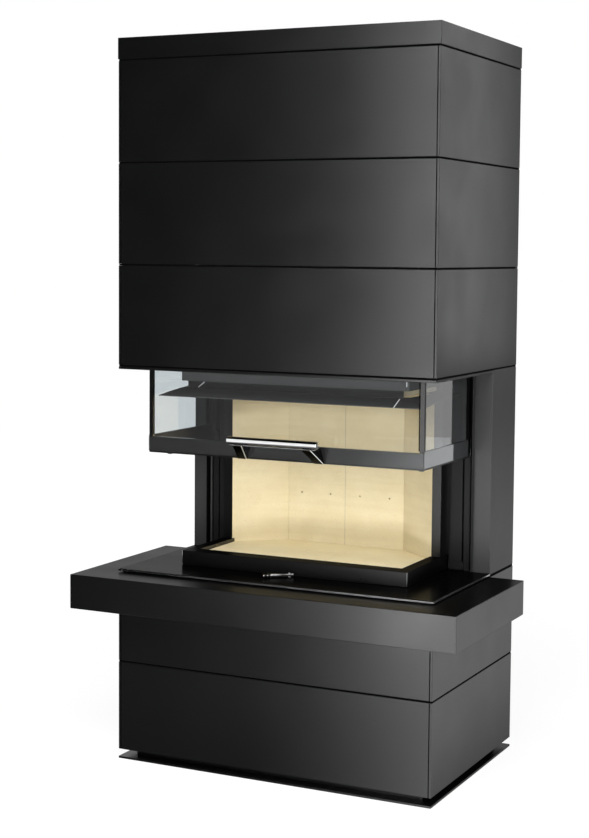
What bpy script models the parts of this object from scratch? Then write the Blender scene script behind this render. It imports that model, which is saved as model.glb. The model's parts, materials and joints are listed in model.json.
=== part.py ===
"""Heat storage fireplace with a bench and a lifting three-sided glass door.

Metres, +Z up. The front faces -Y and +X is on the right of someone who looks at it. The origin is on
the floor, in the middle of the footprint, bench included. The door stands part way up, which is its
rest position.
"""

import math

import bmesh
import bpy
from mathutils import Matrix, Vector

# Driving sizes of the whole
BODY_WIDTH = 1.000
BODY_DEPTH = 0.650
BENCH_WIDTH = 1.210
BENCH_OVERHANG = 0.099
BENCH_HEIGHT = 0.101
BENCH_TOP = 0.561
TOWER_BOTTOM = 1.1625
TOWER_TIER = 0.290
TOWER_TIERS = 3
CAP_HEIGHT = 0.061

# Gaps
FIT = 0.0003
PANEL_JOINT = 0.005
CORNER_JOINT = 0.0013
BENCH_JOINT = 0.0015
OVERRUN = 0.020

# Cladding sheet
PANEL = 0.007
SHEET = 0.0025
PANEL_ROUNDING = 0.0008

# Foot
BASE_PLATE = 0.006
PLINTH_HEIGHT = 0.022
PLINTH_RECESS = 0.040
PLINTH_BAR = 0.050

# Lower body
LOWER_TIER = 0.2635
REAR_STRIP_DROP = 0.001
COLUMN_FOOT_GAP = 0.0075
COLUMN_WIDTH = 0.064
COLUMN_DEPTH = 0.205
COLUMN_ROUNDING = 0.002

# Frames
FRAME_BAR = 0.040
FRAME_WALL = 0.006
REAR_POST = 0.050
REAR_POST_WALL = 0.004
TOWER_BAR = 0.048
TOWER_REAR_BAR = 0.127

# Bench slab and hearth plate
BENCH_SHEET = 0.003
BENCH_ROUNDING = 0.0012
BENCH_OPENING_MARGIN = 0.040
SHADOW_GAP = 0.0032
SHADOW_RECESS = 0.010
SHADOW_BAR = 0.030
SHADOW_LAP = 0.0024
HEARTH_PLATE = 0.0073
HEARTH_ROUNDING = 0.001
HEARTH_REAR_REACH = 0.156
HEARTH_AIR_WIDTH = 0.540
HEARTH_AIR_START = 0.186
HEARTH_AIR_REAR_INSET = 0.0745

# Tower foot plate
TOWER_PLATE = 0.0075
TOWER_OPENING_INSET = 0.055
TOWER_OPENING_MARGIN = 0.063
TOP_OVERHANG = 0.0015
CAP_SHEET = 0.003
CAP_FLANGE = 0.060

# Firebox
TRAY_INSET = 0.0027
TRAY_SETBACK = 0.138
TRAY_REAR_GAP = 0.0995
TRAY_HEIGHT = 0.0432
TRAY_FLOOR = 0.0032
TRAY_SIDE_RIM = 0.036
TRAY_FRONT_RIM = 0.048
TRAY_REAR_RIM = 0.0036
TRAY_ROUNDING = 0.0015
CLAY_FLOOR = 0.0287
CLAY_SLAB = 0.030
CLAY_HEIGHT = 0.4857
NICHE_MOUTH_INSET = 0.0304
NICHE_SLANT = 0.139
NICHE_DEPTH = 0.115
NICHE_REAR_GAP = 0.0405
CLAY_JOINT = 0.0006
AIR_HOLE_RADIUS = 0.0032
AIR_HOLE_HEIGHT = 0.155
AIR_HOLES_AT = (0.050, 0.149)
POST_WIDTH = 0.0279
POST_DEPTH = 0.055
POST_LEDGE_INSET = 0.0093
SHELL_DEPTH = 0.100
SHELL_WALL = 0.004

# Smoke hood, deflector and baffle
HOOD_BOTTOM = 1.125
HOOD_HEIGHT = 0.210
HOOD_SETBACK = 0.137
HOOD_WALL = 0.004
DEFLECTOR_SIDE_GAP = 0.017
DEFLECTOR_SETBACK = 0.098
DEFLECTOR_SLOPE_WIDTH = 0.061
DEFLECTOR_TOP = 1.1047
DEFLECTOR_FRONT_DROP = 0.0237
DEFLECTOR_SIDE_RISE = 0.0195
DEFLECTOR_SHEET = 0.002
DEFLECTOR_STATIONS = 6
BAFFLE_INSET = 0.025
BAFFLE_BOTTOM = 1.107
BAFFLE_HEIGHT = 0.015
BAFFLE_REACH = 0.0396
BAFFLE_RAIL = 0.003
BAFFLE_RAIL_OVERHANG = 0.006
BAFFLE_RAIL_DROP = 0.0215
BAFFLE_RAIL_RISE = 0.035
BAFFLE_LEDGE = 0.012
BAFFLE_LEDGE_HEIGHT = 0.006

# Heat storage and flue
FLUE_RADIUS = 0.090
FLUE_WALL = 0.002
FLUE_CLEARANCE = 0.0015
FLUE_SEAT = 0.004
FLUE_TOP_DROP = 0.001
STORAGE_SIDE_INSET = 0.085
STORAGE_END_INSET = 0.0415
STORAGE_HEIGHT = 0.150
STORAGE_RINGS = 2
STORAGE_CLEARANCE = 0.005

# Lifting door
DOOR_SIDE_INSET = 0.062
DOOR_SETBACK = 0.071
DOOR_REAR_GAP = 0.0175
DOOR_HEIGHT = 0.610
DOOR_BOTTOM = 0.914
DOOR_BAR = 0.012
DOOR_FRONT_RAIL = 0.047
DOOR_SIDE_RAIL = 0.052
DOOR_TOP_RAIL = 0.020
PANE = 0.005
PANE_INSET = 0.0015
PAD_HEIGHT = 0.0025
PAD_LENGTH = 0.012
PAD_WIDTH = 0.006
LEFT_PAD_INSET = 0.067
RIGHT_PAD_INSET = 0.009

# Door handle
HANDLE_HALF = 0.142
HANDLE_RADIUS = 0.011
HANDLE_REACH = 0.0565
HANDLE_RISE = 0.058
HANDLE_FIN_WIDTH = 0.006
HANDLE_FIN_DROP = 0.0135
LEG_WIDTH = 0.030
LEG_TOP_AT = 0.103
LEG_SPLAY = 0.020
LEG_TOE = 0.008
LEG_BROW = 0.009

# Door carriages and their guides
CARRIAGE_INSET = 0.0282
CARRIAGE_PLATE = 0.0039
CARRIAGE_FLANGE = 0.003
CARRIAGE_START = 0.030
CARRIAGE_TOP_DROP = 0.010
SHOE_WIDTH = 0.0153
SHOE_DEPTH = 0.0242
SHOE_HEIGHT = 0.060
SHOE_INSET = 0.015
SLOT_CLEARANCE = 0.0008
GUIDE_RECESS = 0.0421
GUIDE_SHEET = 0.003
GUIDE_FRONT_GAP = 0.0225
GUIDE_HOLLOW = 0.056
GUIDE_JAW_WALL = 0.003
GUIDE_HEEL = 0.0107
GUIDE_TAIL = 0.012
GUIDE_LIP = 0.0035
GUIDE_LIP_WIDTH = 0.025
GUIDE_TOP = 1.900
FOOT_BOX_INSET = 0.0005
FOOT_BOX_LAP = 0.0072
FOOT_BOX_BOTTOM_GAP = 0.0045
FOOT_BOX_HEIGHT = 0.020
FOOT_BOX_PROUD = 0.0045
FOOT_BOX_DEPTH = 0.025

# Counterweights and lift shaft
WEIGHT_WIDTH = 0.050
WEIGHT_DEPTH = 0.056
WEIGHT_HEIGHT = 0.650
WEIGHT_BOTTOM = 0.850
WEIGHT_ROUNDING = 0.002
PULLEY_RADIUS = 0.050
PULLEY_FLANGE = 0.004
PULLEY_HALF_WIDTH = 0.009
PULLEY_GROOVE_HALF_WIDTH = 0.006
SHAFT_RADIUS = 0.008
SHAFT_CLEARANCE = 0.0004
SHAFT_END_INSET = 0.0017
SHAFT_HEIGHT = 1.960
CABLE_SETBACK = 0.0175

# Combustion air
AIR_BOX_INSET = 0.035
AIR_BOX_FRONT_GAP = 0.010
AIR_BOX_HEIGHT = 0.164
AIR_BOX_WALL = 0.003
AIR_BOX_REAR_REACH = 0.106
STAND_LEG = 0.030
STAND_FRONT_INSET = 0.045
SPIGOT_RADIUS = 0.050
SPIGOT_WALL = 0.002
SPIGOT_LENGTH = 0.330
SPIGOT_FLANGE = 0.010
SPIGOT_FLANGE_HEIGHT = 0.003
PORT_RADIUS = 0.040
PORT_OFFSET = 0.052
BASE_PORT_CLEARANCE = 0.005

# Air lever
LEVER_X = 0.007
LEVER_SETBACK = 0.115
LEVER_ANGLE = math.radians(219)
LEVER_PIN_RADIUS = 0.004
LEVER_PIN_CLEARANCE = 0.0005
LEVER_PIN_RISE = 0.0145
LEVER_LIFT = 0.0025
LEVER_BLADE_LENGTH = 0.056
LEVER_BLADE_TAIL = 0.012
LEVER_BLADE_HEIGHT = 0.010
LEVER_BLADE_ROOT = 0.004
LEVER_BLADE_END = 0.006
LEVER_NECK_RADIUS = 0.0032
LEVER_KNOB_RADIUS = 0.0055
LEVER_KNOBS_AT = (0.063, 0.075)
VALVE_RADIUS = 0.050
VALVE_THICKNESS = 0.003
VALVE_HUB_RADIUS = 0.009
VALVE_HUB_HEIGHT = 0.012
VALVE_TURN = math.radians(-129)

# Roundness
SIDES = 24
SMALL_SIDES = 12
SMOOTH_ANGLE = math.radians(30)
WELD = 0.00001

# Places worked out from the sizes
SIDE = BODY_WIDTH / 2
BENCH_HALF = BENCH_WIDTH / 2
BACK = (BODY_DEPTH + BENCH_OVERHANG) / 2
FRONT = BACK - BODY_DEPTH
BENCH_FRONT = FRONT - BENCH_OVERHANG
COLUMN_FRONT = BACK - COLUMN_DEPTH
COLUMN_INNER = SIDE - COLUMN_WIDTH
SIDE_INNER = SIDE - PANEL
FRONT_INNER = FRONT + PANEL
BACK_INNER = BACK - PANEL
FRAME_SIDE = SIDE_INNER - FIT
FRAME_FRONT = FRONT_INNER + FIT
FRAME_BACK = BACK_INNER - FIT
POST_FRONT = FRAME_BACK - REAR_POST

LOWER_BOTTOM = BASE_PLATE + PLINTH_HEIGHT
BENCH_BOTTOM = BENCH_TOP - BENCH_HEIGHT
HEARTH_BOTTOM = BENCH_TOP + SHADOW_GAP
HEARTH_TOP = HEARTH_BOTTOM + HEARTH_PLATE
REAR_STRIP_TOP = BENCH_TOP - REAR_STRIP_DROP
COLUMN_BOTTOM = REAR_STRIP_TOP + COLUMN_FOOT_GAP
COLUMN_TOP = TOWER_BOTTOM + TOWER_PLATE
TOWER_PANELS_BOTTOM = COLUMN_TOP + PANEL_JOINT
TOWER_PANELS_TOP = TOWER_PANELS_BOTTOM + TOWER_TIERS * (TOWER_TIER + PANEL_JOINT) - PANEL_JOINT
CAP_BOTTOM = TOWER_PANELS_TOP + PANEL_JOINT
TOP = CAP_BOTTOM + CAP_HEIGHT

DOOR_HALF = SIDE - DOOR_SIDE_INSET
DOOR_FRONT = FRONT + DOOR_SETBACK
DOOR_BACK = COLUMN_FRONT - DOOR_REAR_GAP
DOOR_TOP = DOOR_BOTTOM + DOOR_HEIGHT
CARRIAGE_INNER = DOOR_HALF - CARRIAGE_INSET
CARRIAGE_OUTER = CARRIAGE_INNER + CARRIAGE_PLATE
CARRIAGE_FRONT = DOOR_BACK + FIT
SHELL_HALF = CARRIAGE_INNER - GUIDE_RECESS

TRAY_HALF = SHELL_HALF - TRAY_INSET
TRAY_FRONT = FRONT + TRAY_SETBACK
TRAY_BACK = BACK - TRAY_REAR_GAP
TRAY_BOTTOM = HEARTH_TOP + FIT
TRAY_TOP = TRAY_BOTTOM + TRAY_HEIGHT
CLAY_FLOOR_BOTTOM = TRAY_BOTTOM + TRAY_FLOOR + FIT
CLAY_FLOOR_TOP = CLAY_FLOOR_BOTTOM + CLAY_FLOOR
NICHE_MOUTH_HALF = TRAY_HALF - NICHE_MOUTH_INSET
NICHE_BACK_HALF = NICHE_MOUTH_HALF - NICHE_SLANT
NICHE_BACK = TRAY_BACK - NICHE_REAR_GAP
NICHE_MOUTH = NICHE_BACK - NICHE_DEPTH
SHELL_FRONT = NICHE_MOUTH + POST_DEPTH
SHELL_BACK = SHELL_FRONT + SHELL_DEPTH
HOOD_FRONT = FRONT + HOOD_SETBACK
FLUE_Y = (HOOD_FRONT + SHELL_BACK) / 2
DEFLECTOR_HALF = DOOR_HALF - DEFLECTOR_SIDE_GAP
BAFFLE_HALF = TRAY_HALF - BAFFLE_INSET

GUIDE_FRONT = DOOR_BACK + GUIDE_FRONT_GAP
GUIDE_INNER = SHELL_HALF + FIT
CABLE_X = CARRIAGE_INNER + CARRIAGE_PLATE / 2
SHAFT_Y = CARRIAGE_FRONT + CABLE_SETBACK + PULLEY_RADIUS
SHAFT_HALF = FRAME_SIDE - SHAFT_END_INSET
WEIGHT_Y = SHAFT_Y + PULLEY_RADIUS

AIR_BOX_HALF = TRAY_HALF - AIR_BOX_INSET
AIR_BOX_BOTTOM = HEARTH_BOTTOM - FIT - AIR_BOX_HEIGHT
AIR_BOX_FRONT = FRONT + BENCH_OPENING_MARGIN + AIR_BOX_FRONT_GAP
AIR_BOX_BACK = COLUMN_FRONT + AIR_BOX_REAR_REACH
LEVER_Y = FRONT + LEVER_SETBACK
PORT_Y = LEVER_Y + PORT_OFFSET

# Finishes: colour, roughness, metallic
PAINT = ((0.012, 0.012, 0.013), 0.45, 0.0)
BLACK_STEEL = ((0.010, 0.010, 0.011), 0.40, 0.2)
HEARTH_GLOSS = ((0.008, 0.008, 0.008), 0.12, 0.0)
CLAY = ((0.80, 0.68, 0.42), 0.90, 0.0)
STORAGE_CLAY = ((0.42, 0.38, 0.33), 0.95, 0.0)
DOOR_GLASS = ((0.86, 0.93, 0.93), 0.02, 0.0)
CHROME = ((0.78, 0.78, 0.78), 0.10, 1.0)
BARE_STEEL = ((0.45, 0.46, 0.48), 0.32, 1.0)
WEIGHT_IRON = ((0.10, 0.10, 0.11), 0.60, 0.6)


def clear_scene():
    """Remove every object of the open scene."""
    for thing in list(bpy.data.objects):
        bpy.data.objects.remove(thing, do_unlink=True)


def collection(name):
    """New collection, linked to the scene."""
    made = bpy.data.collections.new(name)
    bpy.context.scene.collection.children.link(made)
    return made


clear_scene()
PARTS = collection("heat_storage_fireplace")
CUTTERS = collection("cutters")


def material(name, finish):
    """Principled material of one sub-part."""
    colour, roughness, metallic = finish
    made = bpy.data.materials.new(name)
    made.use_nodes = True
    shader = made.node_tree.nodes["Principled BSDF"]
    shader.inputs["Base Color"].default_value = (*colour, 1.0)
    shader.inputs["Roughness"].default_value = roughness
    shader.inputs["Metallic"].default_value = metallic
    if finish is DOOR_GLASS:
        shader.inputs["Transmission Weight"].default_value = 1.0
    return made


def place(name, mesh, location, finish):
    """Put a mesh in the scene: a sub-part when it has a finish, and otherwise a cutter or an addition."""
    thing = bpy.data.objects.new(name, mesh)
    thing.location = location
    if finish is None:
        CUTTERS.objects.link(thing)
        thing.hide_render = True
        thing.display_type = "WIRE"
    else:
        PARTS.objects.link(thing)
        mesh.materials.append(material(name + "_finish", finish))
    return thing


def mesh_from(name, shape):
    """Mesh datablock from a bmesh."""
    mesh = bpy.data.meshes.new(name)
    shape.to_mesh(mesh)
    shape.free()
    return mesh


def smooth(mesh):
    """Shade a round mesh smooth, with its corners kept sharp."""
    mesh.shade_smooth()
    mesh.set_sharp_from_angle(angle=SMOOTH_ANGLE)


def span(half):
    """The two ends of a length that is centred on the middle plane."""
    return -half, half


def on_side(side, inner, outer):
    """The two ends of a stretch on the left (-1) or right (1), measured from the middle plane."""
    return side * inner, side * outer


def side_name(side):
    """Word for the left (-1) or right (1) side."""
    return "right" if side > 0 else "left"


def rounded(thing, width):
    """Round the edges of a sub-part a little."""
    bevel = thing.modifiers.new("rounding", "BEVEL")
    bevel.width = width
    bevel.segments = 1
    bevel.limit_method = "ANGLE"
    bevel.angle_limit = SMOOTH_ANGLE
    return thing


def block(name, x, y, z, finish=None):
    """Box between two values on each axis."""
    ends = [sorted(pair) for pair in (x, y, z)]
    size = Vector([high - low for low, high in ends])
    centre = Vector([(low + high) / 2 for low, high in ends])
    shape = bmesh.new()
    bmesh.ops.create_cube(shape, size=1)
    bmesh.ops.scale(shape, vec=size, verts=shape.verts)
    return place(name, mesh_from(name, shape), centre, finish)


def rod(name, radius, ends, centre, axis="Z", finish=None, sides=SIDES):
    """Cylinder along an axis between two values; the centre gives the other two coordinates."""
    length = ends[1] - ends[0]
    turn = {
        "X": Matrix.Rotation(math.pi / 2, 4, "Y"),
        "Y": Matrix.Rotation(-math.pi / 2, 4, "X"),
        "Z": Matrix(),
    }[axis]
    shape = bmesh.new()
    bmesh.ops.create_cone(
        shape, cap_ends=True, segments=sides, radius1=radius, radius2=radius, depth=length, matrix=turn
    )
    mesh = mesh_from(name, shape)
    smooth(mesh)
    location = Vector(centre)
    location["XYZ".index(axis)] = sum(ends) / 2
    return place(name, mesh, location, finish)


def outline(name, points, ends, finish=None, plane="XY"):
    """Flat outline, extruded between two values across its plane (XY, YZ or XZ)."""
    curve = bpy.data.curves.new(name, "CURVE")
    curve.dimensions = "2D"
    curve.fill_mode = "BOTH"
    curve.extrude = abs(ends[1] - ends[0]) / 2
    spline = curve.splines.new("POLY")
    spline.points.add(len(points) - 1)
    for point, (across, along) in zip(spline.points, points):
        point.co = (across, along, 0.0, 1.0)
    spline.use_cyclic_u = True
    drawn = bpy.data.objects.new(name + "_outline", curve)
    bpy.context.scene.collection.objects.link(drawn)
    middle = sum(ends) / 2
    pose = {
        "XY": Matrix.Translation((0.0, 0.0, middle)),
        "YZ": Matrix.Translation((middle, 0.0, 0.0))
        @ Matrix.Rotation(math.pi / 2, 4, "Z")
        @ Matrix.Rotation(math.pi / 2, 4, "X"),
        "XZ": Matrix.Translation((0.0, middle, 0.0)) @ Matrix.Rotation(math.pi / 2, 4, "X"),
    }[plane]
    bpy.context.view_layer.update()
    solid = bpy.data.meshes.new_from_object(drawn.evaluated_get(bpy.context.evaluated_depsgraph_get()))
    bpy.data.objects.remove(drawn, do_unlink=True)
    shape = bmesh.new()
    shape.from_mesh(solid)
    bmesh.ops.remove_doubles(shape, verts=shape.verts, dist=WELD)
    bmesh.ops.transform(shape, matrix=pose, verts=shape.verts)
    bmesh.ops.recalc_face_normals(shape, faces=shape.faces)
    shape.to_mesh(solid)
    shape.free()
    solid.name = name
    return place(name, solid, (0.0, 0.0, 0.0), finish)


def boolean(target, tool, operation):
    """Add one Boolean modifier."""
    step = target.modifiers.new(operation.lower() + "_" + tool.name, "BOOLEAN")
    step.operation = operation
    step.object = tool
    return target


def cut(target, *tools):
    """Take each tool away from the target."""
    for tool in tools:
        boolean(target, tool, "DIFFERENCE")
    return target


def fuse(target, *tools):
    """Join each tool to the target."""
    for tool in tools:
        boolean(target, tool, "UNION")
    return target


def carry(name, location, things):
    """Parent moving things to an empty on their joint's axis."""
    pivot = bpy.data.objects.new(name, None)
    pivot.location = location
    PARTS.objects.link(pivot)
    for thing in things:
        thing.parent = pivot
        thing.matrix_parent_inverse = Matrix.Translation(location).inverted()


def past(ends):
    """A stretch made longer at both ends, so that a cutter runs past what it cuts."""
    low, high = sorted(ends)
    return low - OVERRUN, high + OVERRUN


def front_panel(name, bottom, top):
    """Front cladding panel, folded back round its edges."""
    half = SIDE_INNER - CORNER_JOINT
    panel = block(name, span(half), (FRONT, FRONT_INNER), (bottom, top), PAINT)
    rounded(panel, PANEL_ROUNDING)
    hollow = block(
        name + "_hollow",
        span(half - SHEET),
        (FRONT + SHEET, FRONT_INNER + OVERRUN),
        (bottom + SHEET, top - SHEET),
    )
    return cut(panel, hollow)


def side_panel(name, side, bottom, top):
    """Side cladding panel, whose front edge shows beside the front panel."""
    panel = block(name, on_side(side, SIDE_INNER, SIDE), (FRONT, BACK), (bottom, top), PAINT)
    rounded(panel, PANEL_ROUNDING)
    hollow = block(
        name + "_hollow",
        on_side(side, SIDE_INNER - OVERRUN, SIDE - SHEET),
        (FRONT + SHEET, BACK - SHEET),
        (bottom + SHEET, top - SHEET),
    )
    return cut(panel, hollow)


def stepped_side_panel(name, side, bottom, top, rear_top):
    """Side panel of the second tier, which runs up behind the bench."""
    step = COLUMN_FRONT + FIT
    outer = [
        (FRONT, bottom),
        (BACK, bottom),
        (BACK, rear_top),
        (step, rear_top),
        (step, top),
        (FRONT, top),
    ]
    panel = outline(name, outer, on_side(side, SIDE_INNER, SIDE), PAINT, "YZ")
    rounded(panel, PANEL_ROUNDING)
    inner = [
        (FRONT + SHEET, bottom + SHEET),
        (BACK - SHEET, bottom + SHEET),
        (BACK - SHEET, rear_top - SHEET),
        (step + SHEET, rear_top - SHEET),
        (step + SHEET, top - SHEET),
        (FRONT + SHEET, top - SHEET),
    ]
    depth = on_side(side, SIDE_INNER - OVERRUN, SIDE - SHEET)
    hollow = outline(name + "_hollow", inner, depth, None, "YZ")
    return cut(panel, hollow)


def make_foot():
    """Base plate on the floor and the recessed plinth that carries the base frame."""
    plate = block("base_plate", span(SIDE), (FRONT, BACK), (0.0, BASE_PLATE), PAINT)
    port_radius = SPIGOT_RADIUS + BASE_PORT_CLEARANCE
    cut(plate, rod("base_port", port_radius, past((0.0, BASE_PLATE)), (LEVER_X, PORT_Y, 0.0)))
    outer = SIDE - PLINTH_RECESS
    heights = (BASE_PLATE + FIT, LOWER_BOTTOM - FIT)
    front, back = FRONT + PLINTH_RECESS, BACK - PLINTH_RECESS
    plinth = block("plinth_frame", span(outer), (front, back), heights, BLACK_STEEL)
    middle_y = (front + PLINTH_BAR, back - PLINTH_BAR)
    cut(plinth, block("plinth_middle", span(outer - PLINTH_BAR), middle_y, past(heights)))


def make_base_frame():
    """Welded frame: a cage of angle bars, and two rear posts up to the cap, joined by flat rails."""
    heights = (LOWER_BOTTOM, BENCH_BOTTOM - FIT)
    frame = block("base_frame", span(FRAME_SIDE), (FRAME_FRONT, FRAME_BACK), heights, BLACK_STEEL)
    inner_x = FRAME_SIDE - FRAME_BAR
    inner_y = (FRAME_FRONT + FRAME_BAR, FRAME_BACK - FRAME_BAR)
    inner_z = (heights[0] + FRAME_BAR, heights[1] - FRAME_BAR)
    core_y = (FRAME_FRONT + FRAME_WALL, FRAME_BACK - FRAME_WALL)
    core_z = (heights[0] + FRAME_WALL, heights[1] + OVERRUN)
    cut(
        frame,
        block("base_frame_core", span(FRAME_SIDE - FRAME_WALL), core_y, core_z),
        block("base_frame_opening", span(inner_x), inner_y, past(heights)),
        block("base_frame_side_windows", past(span(FRAME_SIDE)), inner_y, inner_z),
        block("base_frame_end_windows", span(inner_x), past((FRAME_FRONT, FRAME_BACK)), inner_z),
    )
    post_z = (LOWER_BOTTOM, CAP_BOTTOM - FIT)
    post_y = (POST_FRONT, FRAME_BACK)
    bore_y = (POST_FRONT + REAR_POST_WALL, FRAME_BACK - REAR_POST_WALL)
    bores = []
    for side in (-1, 1):
        word = side_name(side)
        post_inner = FRAME_SIDE - REAR_POST
        fuse(frame, block("rear_post_" + word, on_side(side, post_inner, FRAME_SIDE), post_y, post_z))
        bore_x = on_side(side, post_inner + REAR_POST_WALL, FRAME_SIDE - REAR_POST_WALL)
        bores.append(block("rear_post_bore_" + word, bore_x, bore_y, past(post_z)))
    rail_y = (FRAME_BACK - FRAME_WALL, FRAME_BACK)
    rail_x = span(FRAME_SIDE - REAR_POST / 2)
    rail_tops = {"hearth_rail": HEARTH_BOTTOM - FIT, "tower_rail": COLUMN_TOP, "cap_rail": CAP_BOTTOM - FIT}
    for name, top in rail_tops.items():
        fuse(frame, block(name, rail_x, rail_y, (top - FRAME_BAR, top)))
    cut(frame, *bores)


def make_lower_cladding():
    """Two tiers of front and side panels under the bench, and the back panel over the full height."""
    second_bottom = LOWER_BOTTOM + LOWER_TIER + PANEL_JOINT
    second_top = BENCH_BOTTOM - BENCH_JOINT
    front_panel("lower_front_panel_1", LOWER_BOTTOM, LOWER_BOTTOM + LOWER_TIER)
    front_panel("lower_front_panel_2", second_bottom, second_top)
    for side in (-1, 1):
        stem = "lower_" + side_name(side) + "_panel_"
        side_panel(stem + "1", side, LOWER_BOTTOM, LOWER_BOTTOM + LOWER_TIER)
        stepped_side_panel(stem + "2", side, second_bottom, second_top, REAR_STRIP_TOP)
    half = SIDE_INNER - CORNER_JOINT
    heights = (LOWER_BOTTOM, TOWER_PANELS_TOP)
    panel = block("back_panel", span(half), (BACK_INNER, BACK), heights, PAINT)
    hollow_y = (BACK_INNER - OVERRUN, BACK - SHEET)
    hollow_z = (heights[0] + SHEET, heights[1] - SHEET)
    cut(panel, block("back_panel_hollow", span(half - SHEET), hollow_y, hollow_z))


def make_bench():
    """Bench slab: a folded, hollow horseshoe of sheet round the firebox, open towards its middle."""
    heights = (BENCH_BOTTOM, BENCH_TOP)
    slab = block("bench_slab", span(BENCH_HALF), (BENCH_FRONT, COLUMN_FRONT), heights, PAINT)
    rounded(slab, BENCH_ROUNDING)
    inner_half = SIDE - BENCH_OPENING_MARGIN
    opening_y = (FRONT + BENCH_OPENING_MARGIN, COLUMN_FRONT + OVERRUN)
    hollow = block(
        "bench_hollow",
        span(BENCH_HALF - BENCH_SHEET),
        (BENCH_FRONT + BENCH_SHEET, COLUMN_FRONT - BENCH_SHEET),
        (BENCH_BOTTOM + BENCH_SHEET, BENCH_TOP - BENCH_SHEET),
    )
    cut(slab, block("bench_opening", span(inner_half), opening_y, past(heights)), hollow)


def make_hearth_plate():
    """Hearth plate on its recessed shadow strip, with the air opening and the hole for the lever's pin."""
    rear_half = COLUMN_INNER - BENCH_JOINT
    rear = COLUMN_FRONT + HEARTH_REAR_REACH
    step = COLUMN_FRONT - FIT
    points = [
        (-SIDE, FRONT),
        (SIDE, FRONT),
        (SIDE, step),
        (rear_half, step),
        (rear_half, rear),
        (-rear_half, rear),
        (-rear_half, step),
        (-SIDE, step),
    ]
    plate = outline("hearth_plate", points, (HEARTH_BOTTOM, HEARTH_TOP), HEARTH_GLOSS)
    rounded(plate, HEARTH_ROUNDING)
    strip_half = SIDE - SHADOW_RECESS
    strip_front = FRONT + SHADOW_RECESS
    strip_z = (BENCH_TOP + FIT, HEARTH_BOTTOM + HEARTH_PLATE / 2)
    strip = block("shadow_strip", span(strip_half), (strip_front, step - SHADOW_RECESS), strip_z)
    strip_core = block(
        "shadow_strip_core",
        span(strip_half - SHADOW_BAR),
        (strip_front + SHADOW_BAR, COLUMN_FRONT + OVERRUN),
        (BENCH_TOP - OVERRUN, HEARTH_BOTTOM + SHADOW_LAP),
    )
    fuse(plate, cut(strip, strip_core))
    heights = past((HEARTH_BOTTOM, HEARTH_TOP))
    air_y = (FRONT + HEARTH_AIR_START, TRAY_BACK - HEARTH_AIR_REAR_INSET)
    cut(
        plate,
        block("hearth_air_opening", span(HEARTH_AIR_WIDTH / 2), air_y, heights),
        rod(
            "lever_pin_hole",
            LEVER_PIN_RADIUS + LEVER_PIN_CLEARANCE,
            heights,
            (LEVER_X, LEVER_Y, 0.0),
            sides=SMALL_SIDES,
        ),
    )


def make_air_box():
    """Air box on four legs under the hearth, with its port, and the spigot for the air duct under that."""
    heights = (AIR_BOX_BOTTOM, HEARTH_BOTTOM - FIT)
    box = block("air_box", span(AIR_BOX_HALF), (AIR_BOX_FRONT, AIR_BOX_BACK), heights, BLACK_STEEL)
    hollow = block(
        "air_box_hollow",
        span(AIR_BOX_HALF - AIR_BOX_WALL),
        (AIR_BOX_FRONT + AIR_BOX_WALL, AIR_BOX_BACK - AIR_BOX_WALL),
        (AIR_BOX_BOTTOM + AIR_BOX_WALL, HEARTH_TOP),
    )
    port = rod("air_port", PORT_RADIUS, past((AIR_BOX_BOTTOM, AIR_BOX_BOTTOM)), (LEVER_X, PORT_Y, 0.0))
    cut(box, hollow, port)
    leg_z = (BASE_PLATE + FIT, AIR_BOX_BOTTOM + AIR_BOX_WALL / 2)
    leg_front = AIR_BOX_FRONT + STAND_FRONT_INSET
    ends = ((leg_front, leg_front + STAND_LEG), (AIR_BOX_BACK - STAND_LEG, AIR_BOX_BACK))
    for side in (-1, 1):
        for place_name, leg_y in zip(("front", "rear"), ends):
            leg_x = on_side(side, AIR_BOX_HALF - STAND_LEG, AIR_BOX_HALF)
            fuse(box, block("leg_" + place_name + "_" + side_name(side), leg_x, leg_y, leg_z))
    centre = (LEVER_X, PORT_Y, 0.0)
    top = AIR_BOX_BOTTOM - FIT
    tube = rod("air_spigot", SPIGOT_RADIUS, (top - SPIGOT_LENGTH, top), centre, finish=BARE_STEEL)
    flange = rod("spigot_flange", SPIGOT_RADIUS + SPIGOT_FLANGE, (top - SPIGOT_FLANGE_HEIGHT, top), centre)
    bore = rod("spigot_bore", SPIGOT_RADIUS - SPIGOT_WALL, past((top - SPIGOT_LENGTH, top)), centre)
    cut(fuse(tube, flange), bore)


def make_tray():
    """Firebox tray with its raised rim, and the clay floor in it."""
    heights = (TRAY_BOTTOM, TRAY_TOP)
    tray = block("firebox_tray", span(TRAY_HALF), (TRAY_FRONT, TRAY_BACK), heights, BLACK_STEEL)
    rounded(tray, TRAY_ROUNDING)
    inner_half = TRAY_HALF - TRAY_SIDE_RIM
    inner_y = (TRAY_FRONT + TRAY_FRONT_RIM, TRAY_BACK - TRAY_REAR_RIM)
    inner_z = (TRAY_BOTTOM + TRAY_FLOOR, TRAY_TOP + OVERRUN)
    cut(tray, block("tray_hollow", span(inner_half), inner_y, inner_z))
    floor_y = (inner_y[0] + FIT, inner_y[1] - FIT)
    block("clay_floor", span(inner_half - FIT), floor_y, (CLAY_FLOOR_BOTTOM, CLAY_FLOOR_TOP), CLAY)


def niche_directions():
    """Unit vectors along a right side slab, out of its back, and along the mitre at the back corner."""
    along = Vector((NICHE_MOUTH_HALF - NICHE_BACK_HALF, -NICHE_DEPTH)).normalized()
    behind = Vector((-along.y, along.x))
    mitre = (behind + Vector((0, 1))).normalized()
    return along, behind, mitre


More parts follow.
